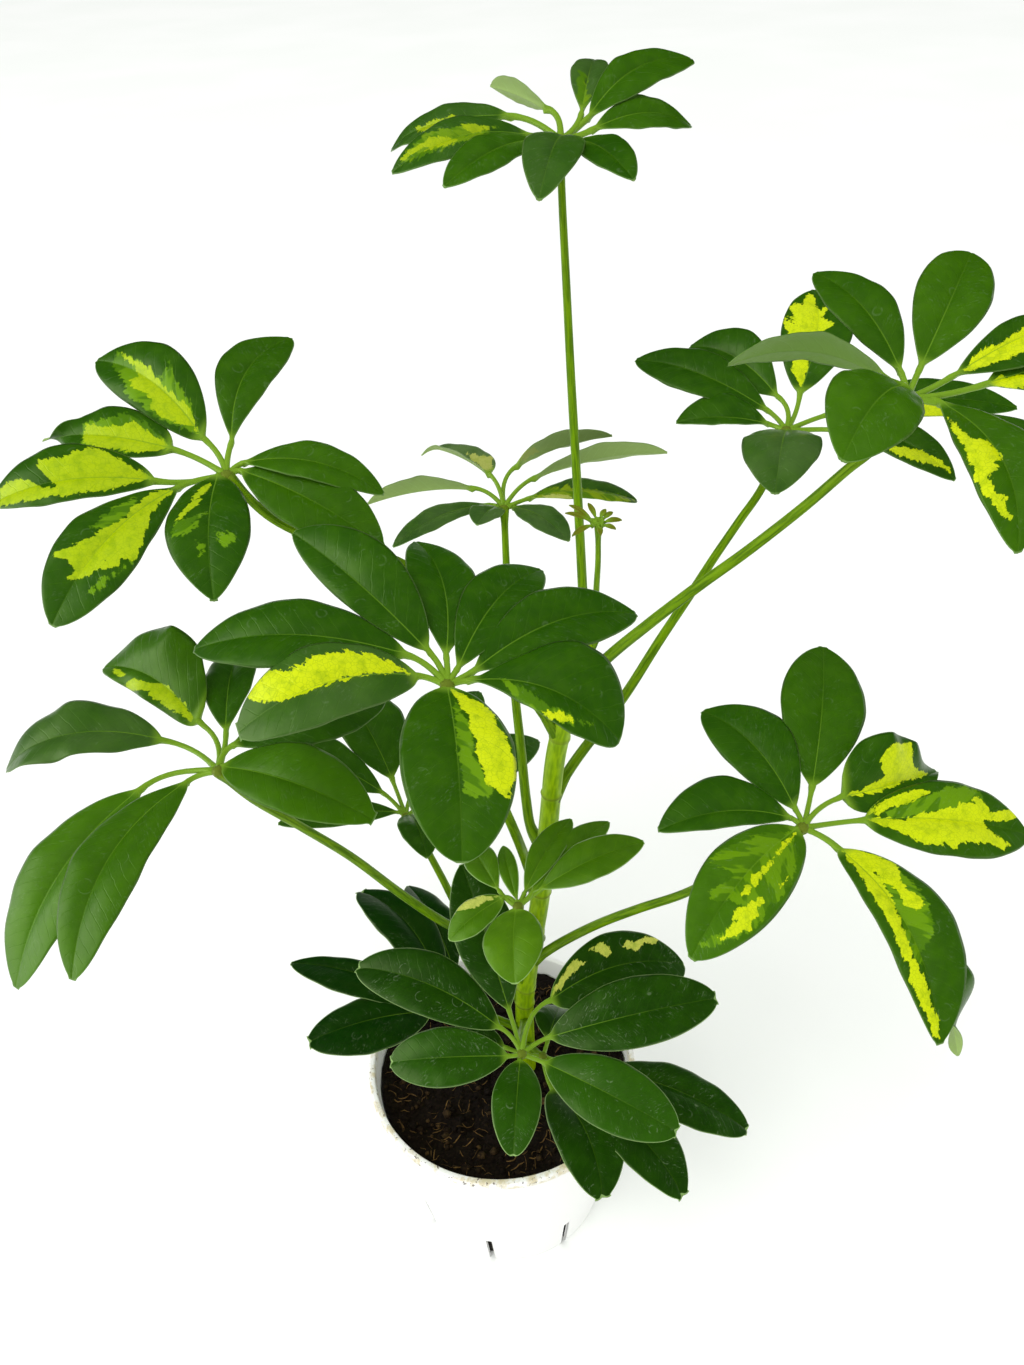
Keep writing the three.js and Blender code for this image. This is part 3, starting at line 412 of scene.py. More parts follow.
def within(points, outline):
    """How far each flat point lies inside a closed outline: the distance to its nearest edge, negative
    outside. A point is inside if a line across from it meets an odd number of edges."""
    a = np.array(outline, float)
    b = np.roll(a, -1, axis=0)
    p = points[..., None, :]
    edge = b - a
    share = np.clip(((p - a) * edge).sum(-1) / (edge ** 2).sum(-1), 0, 1)
    near = np.linalg.norm(p - a - share[..., None] * edge, axis=-1).min(-1)
    spans = (a[:, 1] > p[..., 1]) != (b[:, 1] > p[..., 1])
    cross = a[:, 0] + (p[..., 1] - a[:, 1]) * edge[:, 0] / np.where(edge[:, 1] == 0, TINY, edge[:, 1])
    odd = (spans & (p[..., 0] < cross)).sum(-1) % 2 == 1
    return np.where(odd, near, -near)


def mark_field(outlines, pixels, scale):
    """The signed distance in mm to the nearest of several outlines, positive inside."""
    if not outlines:
        return NO_MARK
    return np.max([within(pixels, outline) for outline in outlines], axis=0) * scale


# ------------------------------------------------------------------ meshes from grids


def smoothstep(low, high, x):
    """0 below low, 1 above high, and 3s^2 - 2s^3 between, s being the share of the way."""
    s = np.clip((x - low) / (high - low), 0, 1)
    return s * s * (3 - 2 * s)


def hump(x, width):
    """exp(-(x / width)^2): 1 in the middle and next to nothing two widths away."""
    return np.exp(-(x / width) ** 2)


def circle(count):
    """`count` angles, evenly spaced round a full turn."""
    return np.arange(count) / count * 2 * np.pi


def turned(r, z, angle):
    """Points turned round the upright axis: (r cos a, r sin a, z)."""
    return np.stack(np.broadcast_arrays(r * np.cos(angle), r * np.sin(angle), z), -1)


def spread(shape, *values):
    """An attribute over a grid: each value spread over the grid's shape, side by side."""
    return np.stack([np.broadcast_to(value, shape) for value in values], -1)


def ring_quads(rows, sides):
    """The quads between closed rings of points, as a grid of (rows - 1, sides) quads."""
    row, side = np.meshgrid(np.arange(rows - 1), np.arange(sides), indexing="ij")
    a, b = row * sides + side, row * sides + (side + 1) % sides
    return np.stack([a, b, b + sides, a + sides], -1)


def end_fans(rows, sides):
    """Triangles that close the first and the last ring to the two points that follow the rings. Each is
    written as a quad with a doubled corner."""
    j, k, end = np.arange(sides), (np.arange(sides) + 1) % sides, (rows - 1) * sides
    low = np.stack([np.full(sides, rows * sides), k, j, j], -1)
    high = np.stack([np.full(sides, rows * sides + 1), end + j, end + k, end + k], -1)
    return np.concatenate([low, high])


class Shell:
    """Vertices, faces and per-vertex attributes of one piece, gathered from several closed grids."""

    def __init__(self):
        self.points, self.faces, self.data, self.count = [], [], {}, 0

    def add(self, points, faces, **data):
        self.points.append(points)
        self.faces.append(faces + self.count)
        for name, values in data.items():
            self.data.setdefault(name, []).append(values)
        self.count += len(points)

    def add_rings(self, rings, **data):
        """Closed rings (rows, sides, 3) joined row to row, each end closed by a fan round its middle."""
        rows, sides = rings.shape[:2]

        def with_ends(values):
            ends = [values[:1].mean(1), values[-1:].mean(1)]
            return np.concatenate([values.reshape(rows * sides, -1), *ends])

        faces = np.concatenate([ring_quads(rows, sides).reshape(-1, 4), end_fans(rows, sides)])
        self.add(with_ends(rings), faces, **{name: with_ends(values) for name, values in data.items()})

    def build(self, name, material):
        """The piece as a smooth-shaded mesh object at the origin."""
        points, faces = np.concatenate(self.points), np.concatenate(self.faces)
        corners = [tuple(dict.fromkeys(face)) for face in faces.tolist()]
        mesh = bpy.data.meshes.new(name)
        mesh.from_pydata((points * MM).tolist(), [], corners)
        mesh.polygons.foreach_set("use_smooth", np.ones(len(corners), bool))
        for key, parts in self.data.items():
            values = np.concatenate(parts).astype(np.float32)
            kind, field = ("FLOAT_VECTOR", "vector") if values.shape[1] == 3 else ("FLOAT", "value")
            mesh.attributes.new(key, kind, "POINT").data.foreach_set(field, values.ravel())
        mesh.materials.append(material)
        piece = bpy.data.objects.new(name, mesh)
        scene.collection.objects.link(piece)
        return piece


def finish_piece(piece, slot, *nodes):
    """The piece rides on the one body and stands for the nodes named, which are hidden. The slot is not used.
    """
    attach(piece, "root")
    if nodes:
        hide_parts(*nodes)


def way_gone(points):
    """The length gone at each point of a way."""
    return np.concatenate([[0], np.cumsum(np.linalg.norm(np.diff(points, axis=0), axis=1))])


def smooth_way(points, count, dense_steps=41):
    """`count` evenly spaced points on the centripetal Catmull-Rom curve through the given ones: cubics whose
    speeds at the joints come from the square roots of the gaps."""
    p = np.array(points, float)
    p = np.concatenate([[2 * p[0] - p[1]], p, [2 * p[-1] - p[-2]]])
    gap = np.maximum(np.linalg.norm(np.diff(p, axis=0), axis=1) ** 0.5, TINY)
    u = np.linspace(0, 1, dense_steps)[:, None]
    parts = []
    for i in range(len(p) - 3):
        a, b, c, d = p[i:i + 4]
        g0, g1, g2 = gap[i:i + 3]
        leave = ((b - a) / g0 - (c - a) / (g0 + g1) + (c - b) / g1) * g1
        arrive = ((c - b) / g1 - (d - b) / (g1 + g2) + (d - c) / g2) * g1
        parts.append(b + leave * u + (3 * c - 3 * b - 2 * leave - arrive) * u ** 2
                     + (2 * b - 2 * c + leave + arrive) * u ** 3)
    dense = np.concatenate([parts[0][:1]] + [part[1:] for part in parts])
    gone = way_gone(dense)
    at = np.linspace(0, gone[-1], count)
    return np.stack([np.interp(at, gone, dense[:, k]) for k in range(3)], -1), gone[-1]


def tube_rings(way, radius, sides):
    """Rings round a way: centre + radius * (side cos a + over sin a), side being square to the way's
    direction. radius is one number a ring, or (rings, sides)."""
    run = unit(np.gradient(way, axis=0))
    lead = np.eye(3)[np.abs(run).mean(0).argmin()]
    side = unit(lead - (run @ lead)[:, None] * run)
    over = np.cross(run, side)
    angle = circle(sides)[:, None]
    radius = np.broadcast_to(np.reshape(radius, (len(way), -1)), (len(way), sides))[..., None]
    return way[:, None] + radius * (side[:, None] * np.cos(angle) + over[:, None] * np.sin(angle))


# ------------------------------------------------------------------ leaves


def leaf_normal(leaf):
    """The normal of the plane that a leaf's leaflets spread in, from its tilt and cant."""
    a, c = math.radians(leaf["tilt"]), math.radians(leaf["cant"])
    return np.array([math.sin(c), -math.sin(a) * math.cos(c), math.cos(a) * math.cos(c)])


def leaflet_axes(piece, hub, normal):
    """Foot, length, way to the tip, side and face of one leaflet; side is turned about the way by roll."""
    foot = sight(piece["foot"], hub + normal * piece["lift"], normal)
    tip = sight(piece["tip"], hub - normal * piece["drop"], normal)
    length = np.linalg.norm(tip - foot)
    way = (tip - foot) / length
    flat = unit(np.cross(way, normal))
    turn = math.radians(piece["roll"])
    side = flat * math.cos(turn) + np.cross(way, flat) * math.sin(turn)
    return foot, length, way, side, np.cross(side, way)


def blade_grid():
    """A blade's two parameters: t from 0 at the foot to 1 at the tip, its rows a little closer at both ends,
    and c from -1 to 1 across, its columns closer at the midrib and the margins."""
    u = np.linspace(-1, 1, GRID["columns"])
    c = np.sign(u) * (GRID["to_midrib"] * np.abs(u) ** GRID["power"] + (1 - GRID["to_midrib"]) * np.abs(u))
    c = np.sin(c * np.pi / 2) * GRID["to_margin"] + c * (1 - GRID["to_margin"])
    t = np.linspace(0, 1, GRID["rows"])
    t = (1 - GRID["to_ends"]) * t + GRID["to_ends"] * (1 - np.cos(np.pi * t)) / 2
    return t[:, None], c


def half_width(t, c, piece):
    """Half the blade's width at t: sin(pi t^p)^q, with p set by where it is widest and q the wedge before it
    and the roundness after it; never under the throat at the foot or the blunt end at the tip; and wider by
    the lean where c is positive."""
    stretch = math.log(0.5) / math.log(piece["peak"])
    power = np.where(t < piece["peak"], piece["wedge"], piece["round"])
    body = np.clip(np.sin(np.pi * t ** stretch), 0, 1) ** power
    least = [piece["throat"] * (1 - t), piece["blunt"] * t ** 6]
    return 0.5 * piece["width"] * np.maximum.reduce([body, *least]) * (1 + piece["lean"] * np.sign(c))


def both_faces(upper, lower):
    """The upper face's columns followed by the lower face's, run back without the two margins."""
    return np.concatenate([upper, lower[:, -2:0:-1]], 1)


UPPER_FACE = both_faces(np.ones((1, GRID["columns"])), -np.ones((1, GRID["columns"])))[0]


def stalk_shares():
    """The shares of a stalklet's length at which its rings stand, the blade's first ring being the last."""
    return np.linspace(0, 1, GRID["stalk_rows"] + 1)[:-1, None]


def blade_rings(piece, axes, t, c, half, seed):
    """A blade as closed rings. Its midrib is a bow, 4 arch t (1 - t), less the curl near the tip. Each half
    folds up from the midrib and bulges a little, and the margins ripple by two waves that grow with c^2. The
    last part twists about the midrib, and a notch draws the tip's middle back. The midrib is a groove above
    and a ridge below, and the thickness falls to nothing at the margins."""
    foot, length, way, side, face = axes
    across, bow = c * half, np.sin(np.pi * t)
    bend = np.clip((t - BLADE["curl_from"]) / (1 - BLADE["curl_from"]), 0, 1) ** 2
    spine = length * (4 * piece["arch"] * t * (1 - t) - piece["curl"] * bend)
    large = np.sin(2 * np.pi * BLADE["waves"] * t + np.where(c < 0, BLADE["lag"], 0)) * bow
    small = np.sin(2 * np.pi * (BLADE["ripples"] * t + seed) + BLADE["ripple_lag"] * np.sign(c)) * bow
    fold = (np.sqrt(c * c + BLADE["crease"]) - BLADE["crease_level"]) * piece["fold"] * half
    rise = (fold + c * c * piece["width"] * (piece["wave"] * large + BLADE["ripple"] * small)
            + BLADE["bulge"] * half * (1 - (2 * np.abs(c) - 1) ** 2) * bow)
    near_tip = smoothstep(BLADE["notch_from"], 1, t)
    back = piece["notch"] * hump(across, BLADE["notch_width"]) * near_tip
    spin = math.radians(piece["twist"]) * smoothstep(BLADE["twist_from"], 1, t)
    flank = across * np.cos(spin) - rise * np.sin(spin) + 4 * piece["sweep"] * length * t * (1 - t)
    height = spine + across * np.sin(spin) + rise * np.cos(spin)
    middle = (foot + way * (length * t - back)[..., None] + side * flank[..., None]
              + face * height[..., None])
    outward = face * np.cos(spin)[..., None] - side * np.sin(spin)[..., None]
    edge = np.sqrt(np.clip(1 - c ** BLADE["edge_power"], 0, 1))
    round_foot = np.sqrt(np.clip(1 - c * c, 0, 1)) * STALKLET["end"]
    body = BLADE["thickness"] / 2 * edge + round_foot * (1 - smoothstep(0, BLADE["round_until"], t))
    groove = MIDRIB["groove"] * hump(across, MIDRIB["groove_width"]) * smoothstep(*MIDRIB["groove_from"], t)
    rib = MIDRIB["radius"] + (STALKLET["end"] - MIDRIB["radius"]) * (1 - t) ** MIDRIB["power"]
    ridge = rib * hump(across, rib + MIDRIB["flare"]) * edge
    upper = middle + outward * (body - groove)[..., None]
    return both_faces(upper, middle - outward * (body + ridge)[..., None])


def stalklet_rings(piece, hub, axes, c):
    """A round stalklet along the curve hub (1-s)^2 + 2 elbow s (1-s) + foot s^2, which reaches the blade
    along its midrib, and is thicker near its two joints."""
    foot, _, way, side, face = axes
    elbow = foot - unit(way + face * 4 * piece["arch"]) * STALKLET["bow"] * np.linalg.norm(foot - hub)
    s = stalk_shares()
    line = hub * (1 - s) ** 2 + 2 * elbow * s * (1 - s) + foot * s ** 2
    run = unit(2 * (1 - s) * (elbow - hub) + 2 * s * (foot - elbow) + TINY * way)
    flank = unit(side - (run @ side)[:, None] * run)
    top = np.cross(flank, run)
    swell = (1 + STALKLET["end_swell"] * hump(1 - s, STALKLET["end_reach"])
             + STALKLET["root_swell"] * hump(s, STALKLET["root_reach"]))
    radius = (STALKLET["root"] + (STALKLET["end"] - STALKLET["root"]) * s) * swell
    turn = both_faces(c[None], c[None])[0, :, None] * np.pi / 2
    round_it = flank[:, None] * np.sin(turn) + top[:, None] * (UPPER_FACE[:, None] * np.cos(turn))
    return line[:, None] + radius[..., None] * round_it


def leaflet_rings(piece, hub, normal, seed):
    """One leaflet as closed rings from the hub to the tip: a round stalklet that flattens into a blade. Its
    attributes are place (across and along in mm, and a number of its own), marks (how far inside the gold,
    the lime and the margin, in mm), kind (underside, stalklet, share of the length gone) and tint (above 0
    a fresher green, partly painted sheen; below 0 a painted grey sheen)."""
    axes = leaflet_axes(piece, hub, normal)
    foot, length = axes[:2]
    t, c = blade_grid()
    half = half_width(t, c, piece)
    rings = np.concatenate([stalklet_rings(piece, hub, axes, c), blade_rings(piece, axes, t, c, half, seed)])
    on_stalk = np.ones((GRID["stalk_rows"], GRID["columns"]))
    along = np.concatenate([(stalk_shares() - 1) * np.linalg.norm(foot - hub), t * length])
    across = np.concatenate([on_stalk * c * STALKLET["end"], c * half])
    margin = np.concatenate([on_stalk * MARGIN["on_stalk"], half * (1 - np.abs(c))])
    margin = np.minimum(margin, np.maximum(length - along, 0) * MARGIN["tip_share"] + MARGIN["least"])
    pixels, scale = seen_at(rings)
    shape = rings.shape[:2]
    gold, lime = (mark_field(piece[colour], pixels, scale) for colour in ("gold", "lime"))
    return rings, dict(
        place=spread(shape, both_faces(across, across), along, seed * PATTERN_STEP),
        marks=spread(shape, gold, lime, both_faces(margin, margin)),
        kind=spread(shape, UPPER_FACE < 0, 1 - smoothstep(*STALKLET["greens"], along), along / length),
        tint=spread(shape, piece["tint"]))


def stalk_rings(leaf, hub):
    """The leaf's stalk: a tube with low ribs that thins from the sheath on the stem to the hub, and swells
    as exp(-d^2) just below it. Its way leaves the stem's plane for the hub's in step with the length gone."""
    drawn = way_gone(np.array(leaf["stalk"] + [leaf["hub"]], float))
    points = [sight_upright(p, leaf["behind"] * g / drawn[-1]) for p, g in zip(leaf["stalk"], drawn)] + [hub]
    way, length = smooth_way(points, max(STALK["least_rows"], int(way_gone(points)[-1] / STALK["step"])))
    t = np.linspace(0, 1, len(way))
    left = (1 - t) * length
    sheath = min(STALK["sheath_length"] / length, STALK["sheath_most"])
    slim = leaf.get("slim", 1)
    radius = slim * (STALK["head"] + (STALK["foot"] - STALK["head"]) * (1 - t)
                     + (STALK["sheath"] - STALK["foot"]) * np.maximum(0, 1 - t / sheath))
    radius = radius + slim * STALK["swell"] * hump(left, STALK["swell_reach"])
    angle = circle(STALK["sides"])
    rings = tube_rings(way, radius[:, None] * (1 + STALK["rib"] * np.cos(STALK["ribs"] * angle)), len(angle))
    return rings, dict(place=spread(rings.shape[:2], angle, (t * length)[:, None], left[:, None]))


def knuckle_rings(hub, normal, radius):
    """A bead round the hub: r = radius cos(h), its height radius sin(h) a little flattened along the leaf's
    normal, with low lobes. Its place says that no stalk is gone yet, so it takes the joint's colour."""
    h = np.linspace(-KNUCKLE["reach"], KNUCKLE["reach"], KNUCKLE["rows"]) * np.pi / 2
    angle = circle(KNUCKLE["sides"])
    flank = unit(np.cross(normal, KNUCKLE["lead"]))
    over = np.cross(normal, flank)
    r = radius * np.cos(h)[:, None] * (1 + KNUCKLE["lobe"] * np.cos(KNUCKLE["lobes"] * angle))
    rings = (hub + normal * (KNUCKLE["flat"] * radius * np.sin(h))[:, None, None]
             + r[..., None] * (flank * np.cos(angle)[:, None] + over * np.sin(angle)[:, None]))
    return rings, dict(place=spread(rings.shape[:2], angle, 0, 1.0))


# ------------------------------------------------------------------ shader helpers


def rgb(red, green, blue):
    """A colour given as 0-255 display values, in the linear light that shaders use."""
    channels = np.array([red, green, blue]) / 255
    linear = np.where(channels <= 0.04045, channels / 12.92, ((channels + 0.055) / 1.055) ** 2.4)
    return (*linear.tolist(), 1.0)


class Net:
    """Adds nodes to a material or a group, and links or sets what it is given."""

    def __init__(self, tree):
        self.tree = tree

    def fill(self, made, inputs):
        """Links each named input of a node to the socket given for it, or sets it to the value given."""
        for key, value in inputs.items():
            if isinstance(value, bpy.types.NodeSocket):
                self.tree.links.new(value, made.inputs[key])
            else:
                made.inputs[key].default_value = value
        return made

    def node(self, kind, inputs=None, **settings):
        made = self.tree.nodes.new("ShaderNode" + kind)
        for name, value in settings.items():
            setattr(made, name, value)
        return self.fill(made, inputs or {})

    def math(self, operation, a, b=0.0):
        return self.node("Math", {0: a, 1: b}, operation=operation).outputs[0]

    def plus(self, a, b):
        return self.math("ADD", a, b)

    def minus(self, a, b):
        return self.math("SUBTRACT", a, b)

    def times(self, a, b):
        return self.math("MULTIPLY", a, b)

    def step(self, value, low, high, start=0.0, end=1.0):
        """start below low, end above high, and a smooth step between."""
        inputs = {"Value": value, "From Min": low, "From Max": high, "To Min": start, "To Max": end}
        return self.node("MapRange", inputs, interpolation_type="SMOOTHSTEP").outputs["Result"]

    def mix(self, share, a, b):
        return self.node("Mix", {0: share, 6: a, 7: b}, data_type="RGBA").outputs[2]

    def noise(self, vector, scale, detail=2.0, roughness=0.5):
        """Fractal noise; the scale is per mm on an attribute and per metre on Object coordinates."""
        inputs = {"Vector": vector, "Scale": scale, "Detail": detail, "Roughness": roughness}
        return self.node("TexNoise", inputs).outputs["Fac"]

    def cells(self, vector, scale, feature):
        made = self.node("TexVoronoi", {"Vector": vector, "Scale": scale}, feature=feature)
        return made.outputs["Distance"]

    def combine(self, x, y, z):
        return self.node("CombineXYZ", {0: x, 1: y, 2: z}).outputs[0]

    def separate(self, vector):
        return self.node("SeparateXYZ", {0: vector}).outputs[:]

    def attribute(self, name, kind="Vector"):
        return self.node("Attribute", attribute_name=name).outputs[kind]

    def object_place(self):
        return self.node("TexCoord").outputs["Object"]

    def bump(self, height, strength, distance):
        return self.node("Bump", {"Height": height, "Strength": strength, "Distance": distance}).outputs[0]


SKIN_OUTPUTS = [("Color", "Color"), ("Roughness", "Float"), ("Height", "Float")]


def skin_group(name, inputs):
    """A new shader node group with named sockets: a Net in it, its input sockets and its output node."""
    tree = bpy.data.node_groups.new(name, "ShaderNodeTree")
    for label, kind, value in inputs:
        socket = tree.interface.new_socket(label, in_out="INPUT", socket_type="NodeSocket" + kind)
        if value is not None:
            socket.default_value = value
    for label, kind in SKIN_OUTPUTS:
        tree.interface.new_socket(label, in_out="OUTPUT", socket_type="NodeSocket" + kind)
    return Net(tree), tree.nodes.new("NodeGroupInput").outputs, tree.nodes.new("NodeGroupOutput")


def new_material(name):
    material = bpy.data.materials.new(name)
    material.use_nodes = True
    return material, Net(material.node_tree), material.node_tree.nodes["Principled BSDF"]


# lengths in mm: slope of the side veins, half their spacing, how far they wander, half a line's width
VEIN = dict(slope=0.8, spacing=2.1, wander=1.6, line=0.28)
# how far the edges of marks stray in mm, in long tongues and fine teeth, and how much more those of lime do
JAG = dict(tongues=3.4, teeth=2.2, lime=1.3)
STRETCH = dict(marks=0.28, patches=0.5, flecks=0.45)
DRIED_DROP = dict(radius=0.27, sharpness=34.0)


def leaf_group():
    """Leaf colouring: deep green with lime and gold marks whose edges run along the side veins, a light
    midrib, faint side veins, a pale margin, water marks, a painted grey sheen and a pale underside."""
    net, given, out = skin_group("leaf colouring", [
        ("Place", "Vector", None), ("Marks", "Vector", None), ("Kind", "Vector", None),
        ("Deep", "Color", rgb(34, 77, 0)), ("Fresh", "Color", rgb(62, 108, 0)),
        ("Lime", "Color", rgb(96, 140, 0)), ("Gold", "Color", rgb(196, 212, 0)),
        ("Rib", "Color", rgb(104, 146, 30)), ("Rim", "Color", rgb(150, 185, 110)),
        ("Underside", "Color", rgb(138, 164, 92)), ("Stalk", "Color", rgb(112, 150, 32)),
        ("Tint", "Float", 0.0), ("Rim strength", "Float", 0.28), ("Water marks", "Float", 0.3)])
    x, y, seed = net.separate(given["Place"])
    gold, lime, edge = net.separate(given["Marks"])
    under, stalk, gone = net.separate(given["Kind"])
    away = net.math("ABSOLUTE", x)
    vein = net.minus(y, net.times(away, VEIN["slope"]))
    signed = net.plus(seed, net.times(net.math("SIGN", x), 3.0))
    plain = net.combine(x, y, signed)

    def drawn_out(share):
        """The place in vein coordinates, drawn out along the side veins."""
        return net.combine(net.times(away, share), vein, signed)

    # marks: the drawn outlines, their edges broken along the side veins
    tongues = net.minus(net.noise(drawn_out(STRETCH["marks"]), 0.42, 3.0, 0.6), 0.5)
    teeth = net.minus(net.noise(plain, 0.9, 3.0, 0.7), 0.5)
    stray = net.plus(net.times(tongues, JAG["tongues"]), net.times(teeth, JAG["teeth"]))
    gold_mask = net.step(net.plus(gold, stray), -0.12, 0.12)
    lime_mask = net.step(net.plus(lime, net.times(stray, JAG["lime"])), -0.3, 0.3)

    # ground: deep green, mottled, and fresher where the tint is above 0; the fresher green is partly the
    # leaflet's own tone and partly painted sheen
    lighter = net.math("MAXIMUM", given["Tint"], 0.0)
    mottle = net.step(net.noise(plain, 0.16, 3.0, 0.6), 0.35, 0.75, 0.0, 0.3)
    base = net.mix(net.plus(mottle, lighter), given["Deep"], given["Fresh"])

    # painted sheen: a grey sheen painted in soft patches, where the tint is below 0
    painted_sheen = net.times(net.math("MINIMUM", given["Tint"], 0.0), -0.55)
    sheen_patches = net.times(net.step(net.noise(plain, 0.07, 1.0), 0.3, 0.6, 0.4, 1.0), painted_sheen)
    base = net.mix(sheen_patches, base, rgb(112, 138, 82))

    # side veins: thin lines that fade at the margin
    wander = net.times(net.noise(plain, 0.25, 1.0), VEIN["wander"])
    comb = net.math("PINGPONG", net.plus(vein, wander), VEIN["spacing"])
    vein_line = net.times(net.step(comb, 0.0, VEIN["line"], 1.0, 0.0), net.step(edge, 0.8, 2.5))
    base = net.mix(net.times(vein_line, 0.16), base, given["Fresh"])

    # lime in two tones, then gold with a fine net of lime and clouds of it
    two_tone = net.step(net.noise(drawn_out(STRETCH["patches"]), 0.22), 0.5, 0.56, 0.0, 0.8)
    base = net.mix(lime_mask, base, net.mix(two_tone, given["Lime"], given["Fresh"]))
    meshes = net.step(net.cells(plain, 0.75, "DISTANCE_TO_EDGE"), 0.0, 0.07, 1.0, 0.0)
    clouds = net.step(net.noise(plain, 0.35), 0.45, 0.75, 0.0, 0.35)
    gold_tone = net.mix(net.times(meshes, 0.35), given["Gold"], given["Lime"])
    base = net.mix(gold_mask, base, net.mix(clouds, gold_tone, given["Lime"]))

    rib_mask = net.times(net.step(away, 0.06, 0.24, 1.0, 0.0), net.step(gone, 0.0, 0.8, 0.7, 0.1))
    base = net.mix(rib_mask, base, given["Rib"])

    # water marks: broken rings and specks left by dried drops
    off_ring = net.math("ABSOLUTE", net.minus(net.cells(plain, 0.13, "F1"), DRIED_DROP["radius"]))
    ring = net.math("MAXIMUM", net.minus(1.0, net.times(off_ring, DRIED_DROP["sharpness"])), 0.0)
    broken = net.step(net.noise(plain, 0.45), 0.5, 0.62, 0.0, 0.45)
    dusty = net.step(net.noise(plain, 0.14, 1.0), 0.5, 0.62)
    flecks = net.step(net.noise(drawn_out(STRETCH["flecks"]), 1.5, 4.0, 0.75), 0.56, 0.66)
    water = net.math("MAXIMUM", net.times(ring, broken), net.times(net.times(flecks, dusty), 0.5))
    water = net.times(net.times(water, given["Water marks"]), net.minus(1.0, gold_mask))
    base = net.mix(net.times(water, 0.5), base, rgb(176, 196, 160))

    rim_mask = net.times(net.step(edge, 0.12, 0.42, 1.0, 0.0), given["Rim strength"])
    base = net.mix(rim_mask, base, given["Rim"])

    pale = net.mix(net.times(vein_line, 0.35), given["Underside"], given["Rim"])
    # the underside is fresher too where the tint is above 0, partly painted sheen
    pale = net.mix(lighter, pale, given["Fresh"])
    pale = net.mix(net.times(gold_mask, 0.6), pale, given["Gold"])
    base = net.mix(stalk, net.mix(under, base, pale), given["Stalk"])

    shine = net.plus(net.step(net.noise(plain, 0.5), 0.3, 0.7, 0.3, 0.4), net.times(under, 0.22))
    height = net.minus(net.times(net.noise(plain, 1.1), 0.25), net.times(vein_line, 0.5))
    net.fill(out, dict(Color=base, Roughness=net.plus(shine, net.times(water, 0.25)), Height=height))
    return net.tree


def stalk_group():
    """Stalk colouring: a bright green skin with lengthwise streaks and small dots, brown at the joints."""
    net, given, out = skin_group("stalk colouring", [
        ("Place", "Vector", None), ("Skin", "Color", rgb(102, 140, 0)), ("Shade", "Color", rgb(66, 104, 0)),
        ("Joint", "Color", rgb(98, 112, 34))])
    angle, length, left = net.separate(given["Place"])
    skin = net.combine(net.times(net.math("COSINE", angle), 1.6), net.times(net.math("SINE", angle), 1.6),
                       net.times(length, 0.08))
    streak = net.noise(skin, 1.3, 3.0, 0.6)
    base = net.mix(net.step(streak, 0.38, 0.68), given["Skin"], given["Shade"])
    dots = net.step(net.noise(net.combine(angle, length, 0.0), 2.2, 2.0, 0.7), 0.66, 0.74)
    at_foot, at_head = net.step(length, 0.3, 1.6, 0.75, 0.0), net.step(left, 0.5, 2.6, 0.45, 0.0)
    for mask in (net.times(dots, 0.35), at_foot, at_head):
        base = net.mix(mask, base, given["Joint"])
    net.fill(out, dict(Color=base, Roughness=net.step(streak, 0.3, 0.7, 0.36, 0.5), Height=streak))
    return net.tree


def plant_material(name, tree, reads, bump, specular, sheen, **values):
    """A skin coloured by one of the two groups, which reads the piece's own attributes."""
    material, net, shader = new_material(name)
    inputs = {label: net.attribute(label.lower(), kind) for label, kind in reads}
    inputs.update((label.replace("_", " "), value) for label, value in values.items())
    made = net.node("Group", inputs, node_tree=tree).outputs
    net.fill(shader, {
        "Base Color": made["Color"], "Roughness": made["Roughness"],
        "Normal": net.bump(made["Height"], bump, 0.0003),
        "Specular IOR Level": specular, "Specular Tint": sheen})
    return material


def pot_material():
    """White moulded plastic, satin, with a peat-stained lip on the side of the photograph."""
    material, net, shader = new_material("white pot plastic")
    where = net.object_place()
    _, y, z = net.separate(where)
    grime, specks = net.noise(where, 160, 4.0, 0.65), net.noise(where, 620, 2.0, 0.6)
    near_lip = net.times(net.step(z, 0.0935, 0.0965), net.step(y, -0.01, 0.02, 1.0, 0.0))
    stain = net.times(net.step(grime, 0.42, 0.62), near_lip)
    spots = net.times(net.step(specks, 0.62, 0.67), near_lip)
    base = net.mix(net.times(stain, 0.75), rgb(250, 250, 248), rgb(206, 190, 138))
    net.fill(shader, {
        "Base Color": net.mix(net.times(spots, 0.85), base, rgb(70, 50, 26)),
        "Roughness": net.step(grime, 0.3, 0.7, 0.38, 0.5),
        "Normal": net.bump(net.noise(where, 900), 0.08, 0.0002)})
    return material


def soil_material():
    """Peat: near-black brown, each crumb and fibre tinted by its own attribute."""
    material, net, shader = new_material("peat")
    grain = net.noise(net.object_place(), 900, 4.0, 0.7)
    dark = net.mix(net.step(grain, 0.35, 0.7), rgb(8, 5, 3), rgb(30, 20, 12))
    light = net.mix(net.step(grain, 0.3, 0.7), rgb(78, 58, 28), rgb(142, 110, 62))
    net.fill(shader, {
        "Base Color": net.mix(net.attribute("tint", "Fac"), dark, light), "Roughness": 0.9,
        "Specular IOR Level": 0.2, "Normal": net.bump(grain, 0.6, 0.0006)})
    return material


# ------------------------------------------------------------------ pot and soil


def pot_radius(z):
    """The radius of the pot's outside at a height: a straight taper."""
    return POT["base"] + (POT["rim"] - POT["lip_width"] - POT["base"]) * z / POT["height"]


